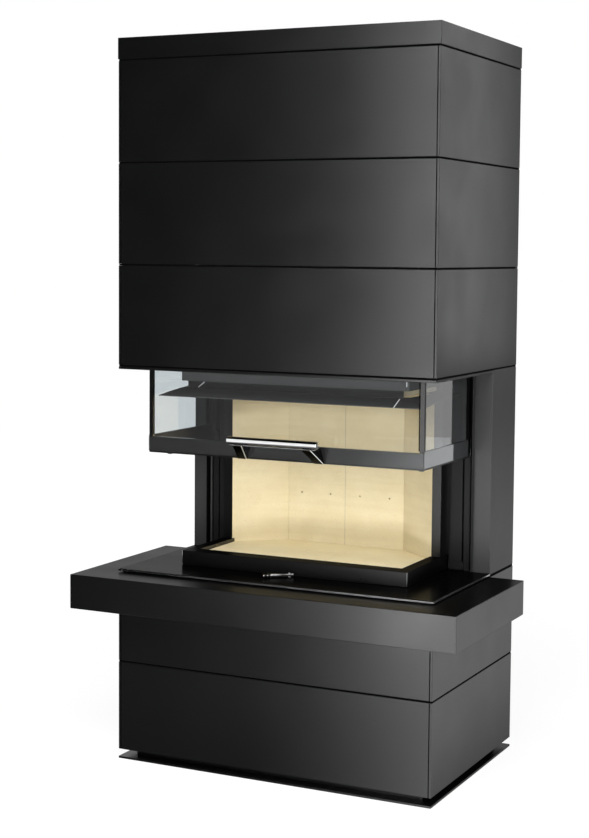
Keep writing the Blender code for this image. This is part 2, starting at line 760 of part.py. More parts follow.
def make_clay_lining():
    """Two back slabs with air holes and two slanted side slabs, mitred and notched at the rim."""
    along, behind, mitre = niche_directions()
    heights = (CLAY_FLOOR_TOP + FIT, CLAY_FLOOR_TOP + FIT + CLAY_HEIGHT)
    back_y = NICHE_BACK + CLAY_SLAB
    mitre_shift = CLAY_SLAB * mitre.x / mitre.y
    half_joint = CLAY_JOINT / 2
    mouth_x = NICHE_MOUTH_HALF - FIT
    mouth_run = (mouth_x - NICHE_BACK_HALF) / along.x
    mouth_y = NICHE_BACK + along.y * mouth_run
    for side in (-1, 1):
        word = side_name(side)
        back_points = [
            (side * half_joint, NICHE_BACK),
            (side * (NICHE_BACK_HALF - half_joint), NICHE_BACK),
            (side * (NICHE_BACK_HALF + mitre_shift - half_joint), back_y),
            (side * half_joint, back_y),
        ]
        slab = outline("clay_back_" + word, back_points, heights, CLAY)
        for number, at in enumerate(AIR_HOLES_AT, start=1):
            centre = (side * at, 0.0, CLAY_FLOOR_TOP + AIR_HOLE_HEIGHT)
            name = "air_hole_" + word + "_" + str(number)
            bored = past((NICHE_BACK, back_y))
            cut(slab, rod(name, AIR_HOLE_RADIUS, bored, centre, "Y", sides=SMALL_SIDES))
        side_points = [
            (side * (NICHE_BACK_HALF + half_joint), NICHE_BACK),
            (side * mouth_x, mouth_y),
            (side * mouth_x, mouth_y + CLAY_SLAB / behind.y),
            (side * (NICHE_BACK_HALF + mitre_shift + half_joint), back_y),
        ]
        slanted = outline("clay_side_" + word, side_points, heights, CLAY)
        notch_x = on_side(side, TRAY_HALF - TRAY_SIDE_RIM - FIT, NICHE_MOUTH_HALF + OVERRUN)
        notch_y = past((NICHE_MOUTH, back_y))
        notch_z = (CLAY_FLOOR_TOP - OVERRUN, TRAY_TOP + FIT)
        cut(slanted, block("rim_notch_" + word, notch_x, notch_y, notch_z))


def make_firebox_body():
    """Steel shell behind the clay, with two front posts beside the niche and ledges for the baffle."""
    post_outer = NICHE_MOUTH_HALF + POST_WIDTH
    inner = SHELL_HALF - SHELL_WALL
    right = [
        (NICHE_MOUTH_HALF, NICHE_MOUTH),
        (post_outer, NICHE_MOUTH),
        (post_outer, SHELL_FRONT),
        (SHELL_HALF, SHELL_FRONT),
        (SHELL_HALF, SHELL_BACK),
    ]
    left = [(-x, y) for x, y in reversed(right)]
    inside_left = [
        (-NICHE_MOUTH_HALF, SHELL_FRONT + SHELL_WALL),
        (-inner, SHELL_FRONT + SHELL_WALL),
        (-inner, SHELL_BACK - SHELL_WALL),
    ]
    inside_right = [(-x, y) for x, y in reversed(inside_left)]
    heights = (TRAY_TOP + FIT, HOOD_BOTTOM - FIT)
    body = outline("firebox_body", right + left + inside_left + inside_right, heights, BLACK_STEEL)
    ledge_z = (BAFFLE_BOTTOM - FIT - BAFFLE_LEDGE_HEIGHT, BAFFLE_BOTTOM - FIT)
    for side in (-1, 1):
        ledge_x = on_side(side, NICHE_MOUTH_HALF - BAFFLE_LEDGE, NICHE_MOUTH_HALF + POST_WIDTH / 2)
        ledge_y = (NICHE_MOUTH + POST_LEDGE_INSET, SHELL_FRONT - POST_LEDGE_INSET)
        fuse(body, block("baffle_ledge_" + side_name(side), ledge_x, ledge_y, ledge_z))


def make_hood():
    """Smoke hood, open at the bottom, with the flue hole in its top."""
    heights = (HOOD_BOTTOM, HOOD_BOTTOM + HOOD_HEIGHT)
    hood = block("smoke_hood", span(TRAY_HALF), (HOOD_FRONT, SHELL_BACK), heights, BLACK_STEEL)
    hollow = block(
        "hood_hollow",
        span(TRAY_HALF - HOOD_WALL),
        (HOOD_FRONT + HOOD_WALL, SHELL_BACK - HOOD_WALL),
        (HOOD_BOTTOM - OVERRUN, heights[1] - HOOD_WALL),
    )
    hole_z = past((heights[1], heights[1]))
    cut(hood, hollow, rod("hood_flue_hole", FLUE_RADIUS - FLUE_SEAT, hole_z, (0.0, FLUE_Y, 0.0)))


def deflector_edges():
    """Outer and inner edge of the deflector from the rear right round to the rear left, as 3D points."""
    outer_front = FRONT + DEFLECTOR_SETBACK
    inner_front = outer_front + DEFLECTOR_SLOPE_WIDTH
    inner_half = DEFLECTOR_HALF - DEFLECTOR_SLOPE_WIDTH
    rear = NICHE_MOUTH - FIT
    outer, inner = [], []
    for station in range(DEFLECTOR_STATIONS):
        share = 1 - station / (DEFLECTOR_STATIONS - 1)
        lift = DEFLECTOR_SIDE_RISE * (1 - (1 - share) ** 2)
        low = DEFLECTOR_TOP - DEFLECTOR_FRONT_DROP + lift
        outer.append(Vector((DEFLECTOR_HALF, outer_front + share * (rear - outer_front), low)))
        inner.append(Vector((inner_half, inner_front + share * (rear - inner_front), DEFLECTOR_TOP)))
    mirror = Vector((-1, 1, 1))
    outer += [point * mirror for point in reversed(outer)]
    inner += [point * mirror for point in reversed(inner)]
    return outer, inner


def make_deflector():
    """Sheet that slopes down from the hood towards the door on three sides: a loft between two edges."""
    outer, inner = deflector_edges()
    shape = bmesh.new()
    low = [shape.verts.new(point) for point in outer]
    high = [shape.verts.new(point) for point in inner]
    for index in range(len(low) - 1):
        shape.faces.new((low[index], low[index + 1], high[index + 1], high[index]))
    bmesh.ops.recalc_face_normals(shape, faces=shape.faces)
    sheet = place("deflector", mesh_from("deflector", shape), (0.0, 0.0, 0.0), BLACK_STEEL)
    thick = sheet.modifiers.new("sheet", "SOLIDIFY")
    thick.thickness = DEFLECTOR_SHEET
    thick.offset = 0.0
    thick.use_even_offset = True


def make_baffle():
    """Clay baffle over the fire, on the rail behind the hood's front plate and on the two post ledges."""
    rail_front = HOOD_FRONT + HOOD_WALL + FIT
    rail_z = (HOOD_BOTTOM - BAFFLE_RAIL_DROP, HOOD_BOTTOM + BAFFLE_RAIL_RISE)
    rail_half = BAFFLE_HALF + BAFFLE_RAIL_OVERHANG
    rail_y = (rail_front, rail_front + BAFFLE_RAIL)
    block("baffle_rail", span(rail_half), rail_y, rail_z, BLACK_STEEL)
    front = rail_y[1] + FIT
    back = NICHE_MOUTH + BAFFLE_REACH
    top = BAFFLE_BOTTOM + BAFFLE_HEIGHT
    points = [
        (front + BAFFLE_HEIGHT / 2, BAFFLE_BOTTOM),
        (back, BAFFLE_BOTTOM),
        (back, top),
        (front, top),
    ]
    baffle = outline("clay_baffle", points, span(BAFFLE_HALF), CLAY, "YZ")
    for side in (-1, 1):
        corner_x = on_side(side, NICHE_MOUTH_HALF - FIT, BAFFLE_HALF + OVERRUN)
        corner_y = (NICHE_MOUTH - FIT, back + OVERRUN)
        corner_z = past((BAFFLE_BOTTOM, top))
        cut(baffle, block("baffle_corner_" + side_name(side), corner_x, corner_y, corner_z))


def guide_outline(side):
    """Plan of one door guide: recess plate, slot, shoe channel, and counterweight channel behind them."""
    slot_inner = CARRIAGE_INNER - SLOT_CLEARANCE
    slot_outer = CARRIAGE_OUTER + SLOT_CLEARANCE
    shoe_outer = CARRIAGE_OUTER + SHOE_WIDTH + 2 * FIT
    rail_outer = shoe_outer + GUIDE_JAW_WALL
    shoe_back = GUIDE_FRONT + GUIDE_HOLLOW - GUIDE_SHEET
    shoe_front = shoe_back - SHOE_DEPTH - 2 * FIT
    hollow_back = GUIDE_FRONT + GUIDE_HOLLOW
    weight_front = WEIGHT_Y - WEIGHT_DEPTH / 2 - FIT
    weight_back = WEIGHT_Y + WEIGHT_DEPTH / 2 + FIT
    weight_outer = CABLE_X + WEIGHT_WIDTH / 2 + FIT
    web_outer = FRAME_SIDE - REAR_POST - FIT
    tail = POST_FRONT + GUIDE_TAIL
    lip_inner = weight_outer - GUIDE_LIP_WIDTH
    heel = weight_front - GUIDE_HEEL / 2
    points = [
        (GUIDE_INNER, GUIDE_FRONT),
        (slot_inner, GUIDE_FRONT),
        (slot_inner, GUIDE_FRONT + GUIDE_SHEET),
        (GUIDE_INNER + GUIDE_SHEET, GUIDE_FRONT + GUIDE_SHEET),
        (GUIDE_INNER + GUIDE_SHEET, hollow_back),
        (slot_outer, hollow_back),
        (slot_outer, shoe_back),
        (shoe_outer, shoe_back),
        (shoe_outer, shoe_front),
        (slot_outer, shoe_front),
        (slot_outer, GUIDE_FRONT),
        (rail_outer, GUIDE_FRONT),
        (rail_outer, heel),
        (web_outer, heel),
        (web_outer, tail),
        (weight_outer, tail),
        (weight_outer, weight_back + GUIDE_LIP),
        (lip_inner, weight_back + GUIDE_LIP),
        (lip_inner, weight_back),
        (weight_outer, weight_back),
        (weight_outer, weight_front),
        (GUIDE_INNER, weight_front),
    ]
    return [(side * x, y) for x, y in points]


def make_door_guides():
    """Door guides in the recesses between the posts and the columns, each with a box at its foot."""
    box_z = (HEARTH_TOP + FOOT_BOX_BOTTOM_GAP, HEARTH_TOP + FOOT_BOX_BOTTOM_GAP + FOOT_BOX_HEIGHT)
    box_front = GUIDE_FRONT - FOOT_BOX_PROUD
    box_y = (box_front, box_front + FOOT_BOX_DEPTH)
    guide_z = (HEARTH_TOP + FIT, GUIDE_TOP)
    for side in (-1, 1):
        word = side_name(side)
        guide = outline("door_guide_" + word, guide_outline(side), guide_z, BLACK_STEEL)
        box_x = on_side(side, GUIDE_INNER + FOOT_BOX_INSET, CARRIAGE_INNER + FOOT_BOX_LAP)
        fuse(guide, block("foot_box_" + word, box_x, box_y, box_z))


def make_columns():
    """Columns of folded sheet: a front strip and a side face."""
    for side in (-1, 1):
        points = [
            (COLUMN_INNER, COLUMN_FRONT),
            (SIDE, COLUMN_FRONT),
            (SIDE, BACK),
            (SIDE_INNER, BACK),
            (SIDE_INNER, COLUMN_FRONT + PANEL),
            (COLUMN_INNER, COLUMN_FRONT + PANEL),
        ]
        mirrored = [(side * x, y) for x, y in points]
        column = outline("column_" + side_name(side), mirrored, (COLUMN_BOTTOM, COLUMN_TOP), PAINT)
        rounded(column, COLUMN_ROUNDING)


def make_tower():
    """Tower: foot plate, frame, three tiers of panels and the cap with its flue hole."""
    plate_z = (TOWER_BOTTOM, COLUMN_TOP)
    plate = block("tower_bottom_plate", span(SIDE), (FRONT, COLUMN_FRONT - FIT), plate_z, PAINT)
    rounded(plate, PANEL_ROUNDING)
    opening_half = SIDE - TOWER_OPENING_INSET
    opening_front = FRONT + TOWER_OPENING_MARGIN
    opening_y = (opening_front, BACK + OVERRUN)
    cut(plate, block("tower_plate_opening", span(opening_half), opening_y, past(plate_z)))

    frame_z = (COLUMN_TOP + FIT, CAP_BOTTOM - FIT)
    frame_back = POST_FRONT - FIT
    window_z = (frame_z[0] + TOWER_BAR, frame_z[1] - TOWER_BAR)
    window_y = (opening_front, frame_back - TOWER_REAR_BAR)
    frame = block("tower_frame", span(FRAME_SIDE), (FRAME_FRONT, frame_back), frame_z, BLACK_STEEL)
    bearing = rod(
        "shaft_bearings",
        SHAFT_RADIUS + SHAFT_CLEARANCE,
        past(span(FRAME_SIDE)),
        (0.0, SHAFT_Y, SHAFT_HEIGHT),
        "X",
    )
    core_y = (FRAME_FRONT + FRAME_WALL, frame_back + OVERRUN)
    core_z = (frame_z[0] + FRAME_WALL, frame_z[1] + OVERRUN)
    cut(
        frame,
        block("tower_frame_core", span(FRAME_SIDE - FRAME_WALL), core_y, core_z),
        block("tower_frame_opening", span(opening_half), opening_y, past(frame_z)),
        block("tower_side_windows", past(span(FRAME_SIDE)), window_y, window_z),
        block("tower_front_window", span(opening_half), (FRONT, opening_front + OVERRUN), window_z),
        bearing,
    )
    for tier in range(TOWER_TIERS):
        bottom = TOWER_PANELS_BOTTOM + tier * (TOWER_TIER + PANEL_JOINT)
        number = str(tier + 1)
        front_panel("tower_front_panel_" + number, bottom, bottom + TOWER_TIER)
        for side in (-1, 1):
            side_panel("tower_" + side_name(side) + "_panel_" + number, side, bottom, bottom + TOWER_TIER)


def make_cap():
    """Cap of folded sheet with an inward flange underneath and the flue hole in its top."""
    half = SIDE + TOP_OVERHANG
    front = FRONT - TOP_OVERHANG
    cap = block("top_cap", span(half), (front, BACK), (CAP_BOTTOM, TOP), PAINT)
    rounded(cap, PANEL_ROUNDING)
    hollow = block(
        "cap_hollow",
        span(half - CAP_SHEET),
        (front + CAP_SHEET, BACK - CAP_SHEET),
        (CAP_BOTTOM + CAP_SHEET, TOP - CAP_SHEET),
    )
    opening_y = (front + CAP_FLANGE, BACK - CAP_FLANGE)
    opening_z = (CAP_BOTTOM - OVERRUN, CAP_BOTTOM + CAP_HEIGHT / 2)
    opening = block("cap_opening", span(half - CAP_FLANGE), opening_y, opening_z)
    hole = rod("cap_flue_hole", FLUE_RADIUS + FLUE_CLEARANCE, past((TOP, TOP)), (0.0, FLUE_Y, 0.0))
    cut(cap, hollow, opening, hole)


def make_flue_and_storage():
    """Flue pipe from the hood to the cap, and the heat storage rings stacked round it."""
    bottom = HOOD_BOTTOM + HOOD_HEIGHT + FIT
    centre = (0.0, FLUE_Y, 0.0)
    heights = (bottom, TOP - FLUE_TOP_DROP)
    pipe = rod("flue_pipe", FLUE_RADIUS, heights, centre, finish=BARE_STEEL)
    cut(pipe, rod("flue_bore", FLUE_RADIUS - FLUE_WALL, past(heights), centre))
    ring_y = (HOOD_FRONT + STORAGE_END_INSET, SHELL_BACK - STORAGE_END_INSET)
    for ring in range(STORAGE_RINGS):
        low = bottom + ring * (STORAGE_HEIGHT + FIT)
        number = str(ring + 1)
        ring_z = (low, low + STORAGE_HEIGHT)
        half = TRAY_HALF - STORAGE_SIDE_INSET
        stone = block("storage_ring_" + number, span(half), ring_y, ring_z, STORAGE_CLAY)
        cut(stone, rod("storage_bore_" + number, FLUE_RADIUS + STORAGE_CLEARANCE, past(ring_z), centre))


def make_door_frame():
    """Door frame: a U of bars in plan, with a window in its front and in each side, and two pads below."""
    inner = DOOR_HALF - DOOR_BAR
    points = [
        (-DOOR_HALF, DOOR_FRONT),
        (DOOR_HALF, DOOR_FRONT),
        (DOOR_HALF, DOOR_BACK),
        (inner, DOOR_BACK),
        (inner, DOOR_FRONT + DOOR_BAR),
        (-inner, DOOR_FRONT + DOOR_BAR),
        (-inner, DOOR_BACK),
        (-DOOR_HALF, DOOR_BACK),
    ]
    frame = outline("door_frame", points, (DOOR_BOTTOM, DOOR_TOP), BLACK_STEEL)
    window_top = DOOR_TOP - DOOR_TOP_RAIL
    front_z = (DOOR_BOTTOM + DOOR_FRONT_RAIL, window_top)
    side_z = (DOOR_BOTTOM + DOOR_SIDE_RAIL, window_top)
    side_y = (DOOR_FRONT + DOOR_BAR, DOOR_BACK - DOOR_BAR)
    cut(
        frame,
        block("door_front_window", span(inner), past((DOOR_FRONT, DOOR_FRONT + DOOR_BAR)), front_z),
        block("door_side_windows", past(span(DOOR_HALF)), side_y, side_z),
    )
    pad_middle = DOOR_FRONT + DOOR_BAR / 2
    pad_y = (pad_middle - PAD_WIDTH / 2, pad_middle + PAD_WIDTH / 2)
    pad_z = (DOOR_BOTTOM - PAD_HEIGHT, DOOR_BOTTOM + PAD_HEIGHT)
    for side, inset in ((-1, LEFT_PAD_INSET), (1, RIGHT_PAD_INSET)):
        at = side * (DOOR_HALF - inset)
        pad_x = (at - PAD_LENGTH / 2, at + PAD_LENGTH / 2)
        fuse(frame, block("pad_" + side_name(side), pad_x, pad_y, pad_z))
    return frame, front_z, side_z, side_y


def make_panes(front_z, side_z, side_y):
    """One front pane and two side panes in the door frame's windows."""
    inner = DOOR_HALF - DOOR_BAR
    pane_y = (DOOR_FRONT + PANE_INSET, DOOR_FRONT + PANE_INSET + PANE)
    front_heights = (front_z[0] + FIT, front_z[1] - FIT)
    panes = [block("front_pane", span(inner - FIT), pane_y, front_heights, DOOR_GLASS)]
    for side in (-1, 1):
        pane_x = on_side(side, DOOR_HALF - PANE_INSET - PANE, DOOR_HALF - PANE_INSET)
        depth = (side_y[0] + FIT, side_y[1] - FIT)
        heights = (side_z[0] + FIT, side_z[1] - FIT)
        panes.append(block("side_pane_" + side_name(side), pane_x, depth, heights, DOOR_GLASS))
    return panes


def make_carriages():
    """Carriages behind the door's side bars: a plate through the guide's slot and two shoes each."""
    bottom = DOOR_BOTTOM + CARRIAGE_START
    top = DOOR_TOP - CARRIAGE_TOP_DROP
    shoe_back = GUIDE_FRONT + GUIDE_HOLLOW - GUIDE_SHEET - FIT
    shoe_y = (shoe_back - SHOE_DEPTH, shoe_back)
    carriages = []
    for side in (-1, 1):
        word = side_name(side)
        points = [
            (CARRIAGE_INNER, CARRIAGE_FRONT),
            (DOOR_HALF, CARRIAGE_FRONT),
            (DOOR_HALF, CARRIAGE_FRONT + CARRIAGE_FLANGE),
            (CARRIAGE_OUTER, CARRIAGE_FRONT + CARRIAGE_FLANGE),
            (CARRIAGE_OUTER, shoe_back),
            (CARRIAGE_INNER, shoe_back),
        ]
        mirrored = [(side * x, y) for x, y in points]
        plate = outline("carriage_" + word, mirrored, (bottom, top), BLACK_STEEL)
        shoe_x = on_side(side, CARRIAGE_INNER + CARRIAGE_PLATE / 2, CARRIAGE_OUTER + SHOE_WIDTH)
        lows = (bottom + SHOE_INSET, top - SHOE_INSET - SHOE_HEIGHT)
        for number, low in enumerate(lows, start=1):
            name = "shoe_" + word + "_" + str(number)
            fuse(plate, block(name, shoe_x, shoe_y, (low, low + SHOE_HEIGHT)))
        carriages.append(plate)
    return carriages


def make_handle():
    """Handle bar with a fin along its underside, on two splayed wedge legs in front of the bottom rail."""
    bar_y = DOOR_FRONT - HANDLE_REACH
    bar_z = DOOR_BOTTOM + HANDLE_RISE
    bar = rod("handle_bar", HANDLE_RADIUS, span(HANDLE_HALF), (0.0, bar_y, bar_z), "X", CHROME)
    fin_y = (bar_y - HANDLE_FIN_WIDTH / 2, bar_y + HANDLE_FIN_WIDTH / 2)
    fin_x = span(HANDLE_HALF - HANDLE_FIN_WIDTH)
    fuse(bar, block("handle_fin", fin_x, fin_y, (bar_z - HANDLE_FIN_DROP, bar_z)))
    made = [bar]
    top = bar_z - HANDLE_FIN_DROP - FIT
    rear = DOOR_FRONT - FIT
    points = [(bar_y - LEG_BROW, top), (rear, top), (rear, DOOR_BOTTOM), (rear - LEG_TOE, DOOR_BOTTOM)]
    for side in (-1, 1):
        ends = on_side(side, LEG_TOP_AT - LEG_WIDTH / 2, LEG_TOP_AT + LEG_WIDTH / 2)
        leg = outline("handle_leg_" + side_name(side), points, ends, BARE_STEEL, "YZ")
        for vertex in leg.data.vertices:
            vertex.co.x += side * LEG_SPLAY * (top - vertex.co.z) / (top - DOOR_BOTTOM)
        made.append(leg)
    return made


def make_door():
    """The lifting door, carried by an empty at its bottom edge."""
    frame, front_z, side_z, side_y = make_door_frame()
    things = [frame] + make_panes(front_z, side_z, side_y) + make_carriages() + make_handle()
    carry("door_lift", (0.0, DOOR_BACK, DOOR_BOTTOM), things)


def make_counterweights():
    """Two counterweights in the guides' rear channels."""
    weight_y = (WEIGHT_Y - WEIGHT_DEPTH / 2, WEIGHT_Y + WEIGHT_DEPTH / 2)
    weight_z = (WEIGHT_BOTTOM, WEIGHT_BOTTOM + WEIGHT_HEIGHT)
    for side in (-1, 1):
        weight_x = on_side(side, CABLE_X - WEIGHT_WIDTH / 2, CABLE_X + WEIGHT_WIDTH / 2)
        weight = block("counterweight_" + side_name(side), weight_x, weight_y, weight_z, WEIGHT_IRON)
        rounded(weight, WEIGHT_ROUNDING)


def shaft_profile():
    """Half profile of the lift shaft from its right end to its left end: radius and place along it."""
    rim = PULLEY_RADIUS + PULLEY_FLANGE
    ramp = PULLEY_HALF_WIDTH - PULLEY_GROOVE_HALF_WIDTH
    right = [
        (0.0, SHAFT_HALF),
        (SHAFT_RADIUS, SHAFT_HALF),
        (SHAFT_RADIUS, CABLE_X + PULLEY_HALF_WIDTH),
        (rim, CABLE_X + PULLEY_HALF_WIDTH),
        (rim, CABLE_X + PULLEY_HALF_WIDTH - ramp / 2),
        (PULLEY_RADIUS, CABLE_X + PULLEY_GROOVE_HALF_WIDTH / 2),
        (PULLEY_RADIUS, CABLE_X - PULLEY_GROOVE_HALF_WIDTH / 2),
        (rim, CABLE_X - PULLEY_HALF_WIDTH + ramp / 2),
        (rim, CABLE_X - PULLEY_HALF_WIDTH),
        (SHAFT_RADIUS, CABLE_X - PULLEY_HALF_WIDTH),
    ]
    return right + [(radius, -at) for radius, at in reversed(right)]


def make_lift_shaft():
    """Turned shaft with two cable pulleys, which runs in the tower frame."""
    profile = shaft_profile()
    shape = bmesh.new()
    line = [shape.verts.new((radius, 0.0, at)) for radius, at in profile]
    for start, end in zip(line, line[1:]):
        shape.edges.new((start, end))
    mesh = mesh_from("lift_shaft", shape)
    shaft = place("lift_shaft", mesh, (0.0, SHAFT_Y, SHAFT_HEIGHT), BARE_STEEL)
    shaft.rotation_euler = (0.0, math.pi / 2, 0.0)
    turn = shaft.modifiers.new("turning", "SCREW")
    turn.steps = SIDES
    turn.render_steps = SIDES
    turn.use_merge_vertices = True
    turn.merge_threshold = WELD


def make_air_lever():
    """Air lever on the hearth plate: pin, blade, neck and knobs along it, turning about the pin."""
    heading = Vector((math.cos(LEVER_ANGLE), math.sin(LEVER_ANGLE)))
    across = Vector((-heading.y, heading.x))
    pivot = Vector((LEVER_X, LEVER_Y))
    low = HEARTH_TOP + LEVER_LIFT
    pin_z = (AIR_BOX_BOTTOM + AIR_BOX_WALL + VALVE_THICKNESS + 2 * FIT, HEARTH_TOP + LEVER_PIN_RISE)
    pin_at = (LEVER_X, LEVER_Y, 0.0)
    lever = rod("air_lever", LEVER_PIN_RADIUS, pin_z, pin_at, finish=CHROME, sides=SMALL_SIDES)
    corners = (
        (-LEVER_BLADE_TAIL, LEVER_BLADE_ROOT),
        (LEVER_BLADE_LENGTH, LEVER_BLADE_END),
        (LEVER_BLADE_LENGTH, -LEVER_BLADE_END),
        (-LEVER_BLADE_TAIL, -LEVER_BLADE_ROOT),
    )
    points = [pivot + heading * run + across * (width / 2) for run, width in corners]
    fuse(lever, outline("lever_blade", points, (low, low + LEVER_BLADE_HEIGHT)))
    axis_z = low + LEVER_BLADE_HEIGHT / 2
    neck_length = LEVER_KNOBS_AT[1] - LEVER_BLADE_LENGTH + LEVER_BLADE_END
    neck = rod("lever_neck", LEVER_NECK_RADIUS, (0.0, neck_length), (0.0, 0.0, 0.0), "X", sides=SMALL_SIDES)
    neck_at = pivot + heading * (LEVER_KNOBS_AT[1] - neck_length / 2)
    neck.location = (neck_at.x, neck_at.y, axis_z)
    neck.rotation_euler = (0.0, 0.0, LEVER_ANGLE)
    fuse(lever, neck)
    for number, at in enumerate(LEVER_KNOBS_AT, start=1):
        shape = bmesh.new()
        bmesh.ops.create_uvsphere(
            shape, u_segments=SMALL_SIDES, v_segments=SMALL_SIDES // 2, radius=LEVER_KNOB_RADIUS
        )
        centre = pivot + heading * at
        name = "lever_knob_" + str(number)
        fuse(lever, place(name, mesh_from(name, shape), (centre.x, centre.y, axis_z), None))
    return lever


def make_air_valve():
    """Valve paddle over the air port, on a hub round the foot of the lever's pin."""
    angle = LEVER_ANGLE + VALVE_TURN
    bottom = AIR_BOX_BOTTOM + AIR_BOX_WALL + FIT
    top = bottom + VALVE_THICKNESS
    paddle_at = (LEVER_X + PORT_OFFSET * math.cos(angle), LEVER_Y + PORT_OFFSET * math.sin(angle), 0.0)
    hub_at = (LEVER_X, LEVER_Y, 0.0)
    valve = rod("air_valve", VALVE_RADIUS, (bottom, top), paddle_at, finish=BARE_STEEL)
    hub = rod("valve_hub", VALVE_HUB_RADIUS, (bottom, top + VALVE_HUB_HEIGHT), hub_at, sides=SMALL_SIDES)
    socket = rod(
        "valve_socket",
        LEVER_PIN_RADIUS + FIT,
        (top, top + VALVE_HUB_HEIGHT + OVERRUN),
        hub_at,
        sides=SMALL_SIDES,
    )
    return cut(fuse(valve, hub), socket)


def make_air_control():
    """Lever and valve, carried by an empty on the pin's axis."""
    carry("air_lever_turn", (LEVER_X, LEVER_Y, HEARTH_TOP), [make_air_lever(), make_air_valve()])


make_foot()
make_base_frame()
make_lower_cladding()
make_bench()
make_hearth_plate()
make_air_box()
make_tray()
make_clay_lining()
make_firebox_body()
make_hood()
make_deflector()
make_baffle()
make_door_guides()
make_columns()
make_tower()
make_cap()
make_flue_and_storage()
make_door()
make_counterweights()
make_lift_shaft()
make_air_control()
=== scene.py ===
"""Finishes, small fittings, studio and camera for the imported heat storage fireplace."""

import json
import math

import bmesh
import bpy
from mathutils import Matrix, Vector


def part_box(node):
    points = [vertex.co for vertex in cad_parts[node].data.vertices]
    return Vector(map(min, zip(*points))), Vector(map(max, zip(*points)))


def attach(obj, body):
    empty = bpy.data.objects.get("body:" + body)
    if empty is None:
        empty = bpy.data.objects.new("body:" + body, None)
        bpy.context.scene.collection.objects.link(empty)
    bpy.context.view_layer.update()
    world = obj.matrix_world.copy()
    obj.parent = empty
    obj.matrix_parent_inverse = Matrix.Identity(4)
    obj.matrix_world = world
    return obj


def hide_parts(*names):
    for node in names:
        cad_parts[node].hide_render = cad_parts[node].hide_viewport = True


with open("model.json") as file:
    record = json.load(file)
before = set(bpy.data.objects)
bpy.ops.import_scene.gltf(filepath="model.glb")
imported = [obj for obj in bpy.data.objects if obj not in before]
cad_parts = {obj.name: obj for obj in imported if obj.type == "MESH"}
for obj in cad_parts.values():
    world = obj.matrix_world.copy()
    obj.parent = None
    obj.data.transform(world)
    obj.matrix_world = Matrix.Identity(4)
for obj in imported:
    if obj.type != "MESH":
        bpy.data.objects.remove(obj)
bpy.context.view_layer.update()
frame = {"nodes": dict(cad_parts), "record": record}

nodes = frame["nodes"]

# Sizes and places in metres; those of CAD nodes are repeated from the part's source

# Cladding, columns and flue
SIDE = 0.5
FRONT = -0.2755
BACK = 0.3745
PANEL = 0.007
JOINT_RECESS = 0.001
JOINT_CLEARANCE = 0.0003
TIER_JOINTS = ((0.2915, 0.2965), (1.170, 1.175), (1.465, 1.470), (1.760, 1.765), (2.055, 2.060))
TIERS = ((0.028, 0.2915), (0.2965, 0.4585), (1.175, 1.465), (1.470, 1.760), (1.765, 2.055))
# Black strips over the corner joints, painted shade
CORNER_SEAM = (0.4908, 0.4934)
SEAM_SKIN = 0.0004
SEAM_MARGIN = 0.001
COLUMN_JOINT = (0.560, 0.5675)
COLUMN_FRONT = 0.1695
FLUE_AT = Vector((0.0, 0.068, 0.0))
FLUE_RADIUS = 0.090
FLUE_WALL = 0.002

# Handle
HANDLE_RADIUS = 0.011
HANDLE_Y = -0.261
HANDLE_Z = 0.972
HANDLE_HALF = 0.142
FIN_WIDTH = 0.006
FIN_DROP = 0.0135
FIN_TRIM = 0.0009
LEG_AT = 0.109
LEG_WIDTH = 0.030
LEG_SPLAY = 0.014
LEG_TOE = 0.008
LEG_BROW = 0.009
LEG_CHAMFER = 0.0016

# Hearth plate and air lever
HEARTH_TOP = 0.5715
HEARTH_PLATE = 0.0073
RIM_INSET = 0.0011
RIM_SKIN = 0.0006
RIM_REAR_GAP = 0.001
LEVER_AT = Vector((0.007, -0.1605, 0.0))
LEVER_ANGLE = math.radians(219)
LEVER_RISE = 0.0075
BLADE_SIZE = Vector((0.068, 0.0105, 0.010))
BLADE_AT = 0.022
BLADE_CUTS = 11
BLADE_BASE = 0.25
BLADE_SWELL = 0.95
BLADE_ARCH_START = 0.12
BLADE_ARCH_SPAN = 0.66
BLADE_LOW = 0.82
BLADE_GROWTH = 0.30
BLADE_EDGE = 0.0009
LEVER_PIN_RADIUS = 0.0040
LEVER_PIN_LENGTH = 0.150
LEVER_PIN_RISE = 0.0145
COLLAR_RADIUS = 0.0072
COLLAR_HEIGHT = 0.0016
COLLAR_RISE = 0.0012
NECK_AT = 0.066
NECK_RADIUS = 0.0024
NECK_LENGTH = 0.026
# Place along the lever and radius of each ball
BALLS = ((0.063, 0.0060), (0.075, 0.0052))

# Door, its glass and its seals
DOOR_HALF = 0.438
DOOR_FRONT = -0.2045
DOOR_REAR = 0.152
DOOR_BOTTOM = 0.914
RAIL_TOP = 0.961
SIDE_RAIL_TOP = 0.966
COVER_GLASS = 0.0016
GLASS_LIP = 0.005
PANE_INNER = 0.4315
PANE_OUTER = 0.4365
PANE_REAR = 0.1397
PANE_TOP = 1.511
FRONT_PANE_HALF = 0.425
FRONT_PANE_FACE = -0.203
BORDER = 0.0035
BORDER_SKIN = 0.0006
SEAL_START = 0.006
SEAL_LAP = 0.012
SEAL_SKIN = 0.001
# Black strips before the columns, painted shade in the gaps beside the door
COLUMN_STRIP_GAP = 0.0022
COLUMN_STRIP_WIDTH = 0.006
COLUMN_STRIP_BOTTOM = 0.576
COLUMN_STRIP_TOP = 1.168

# Hood, tray and clay lining
# Bright pins at the hood's corners, standing for painted highlights
PIN_RADIUS = 0.0013
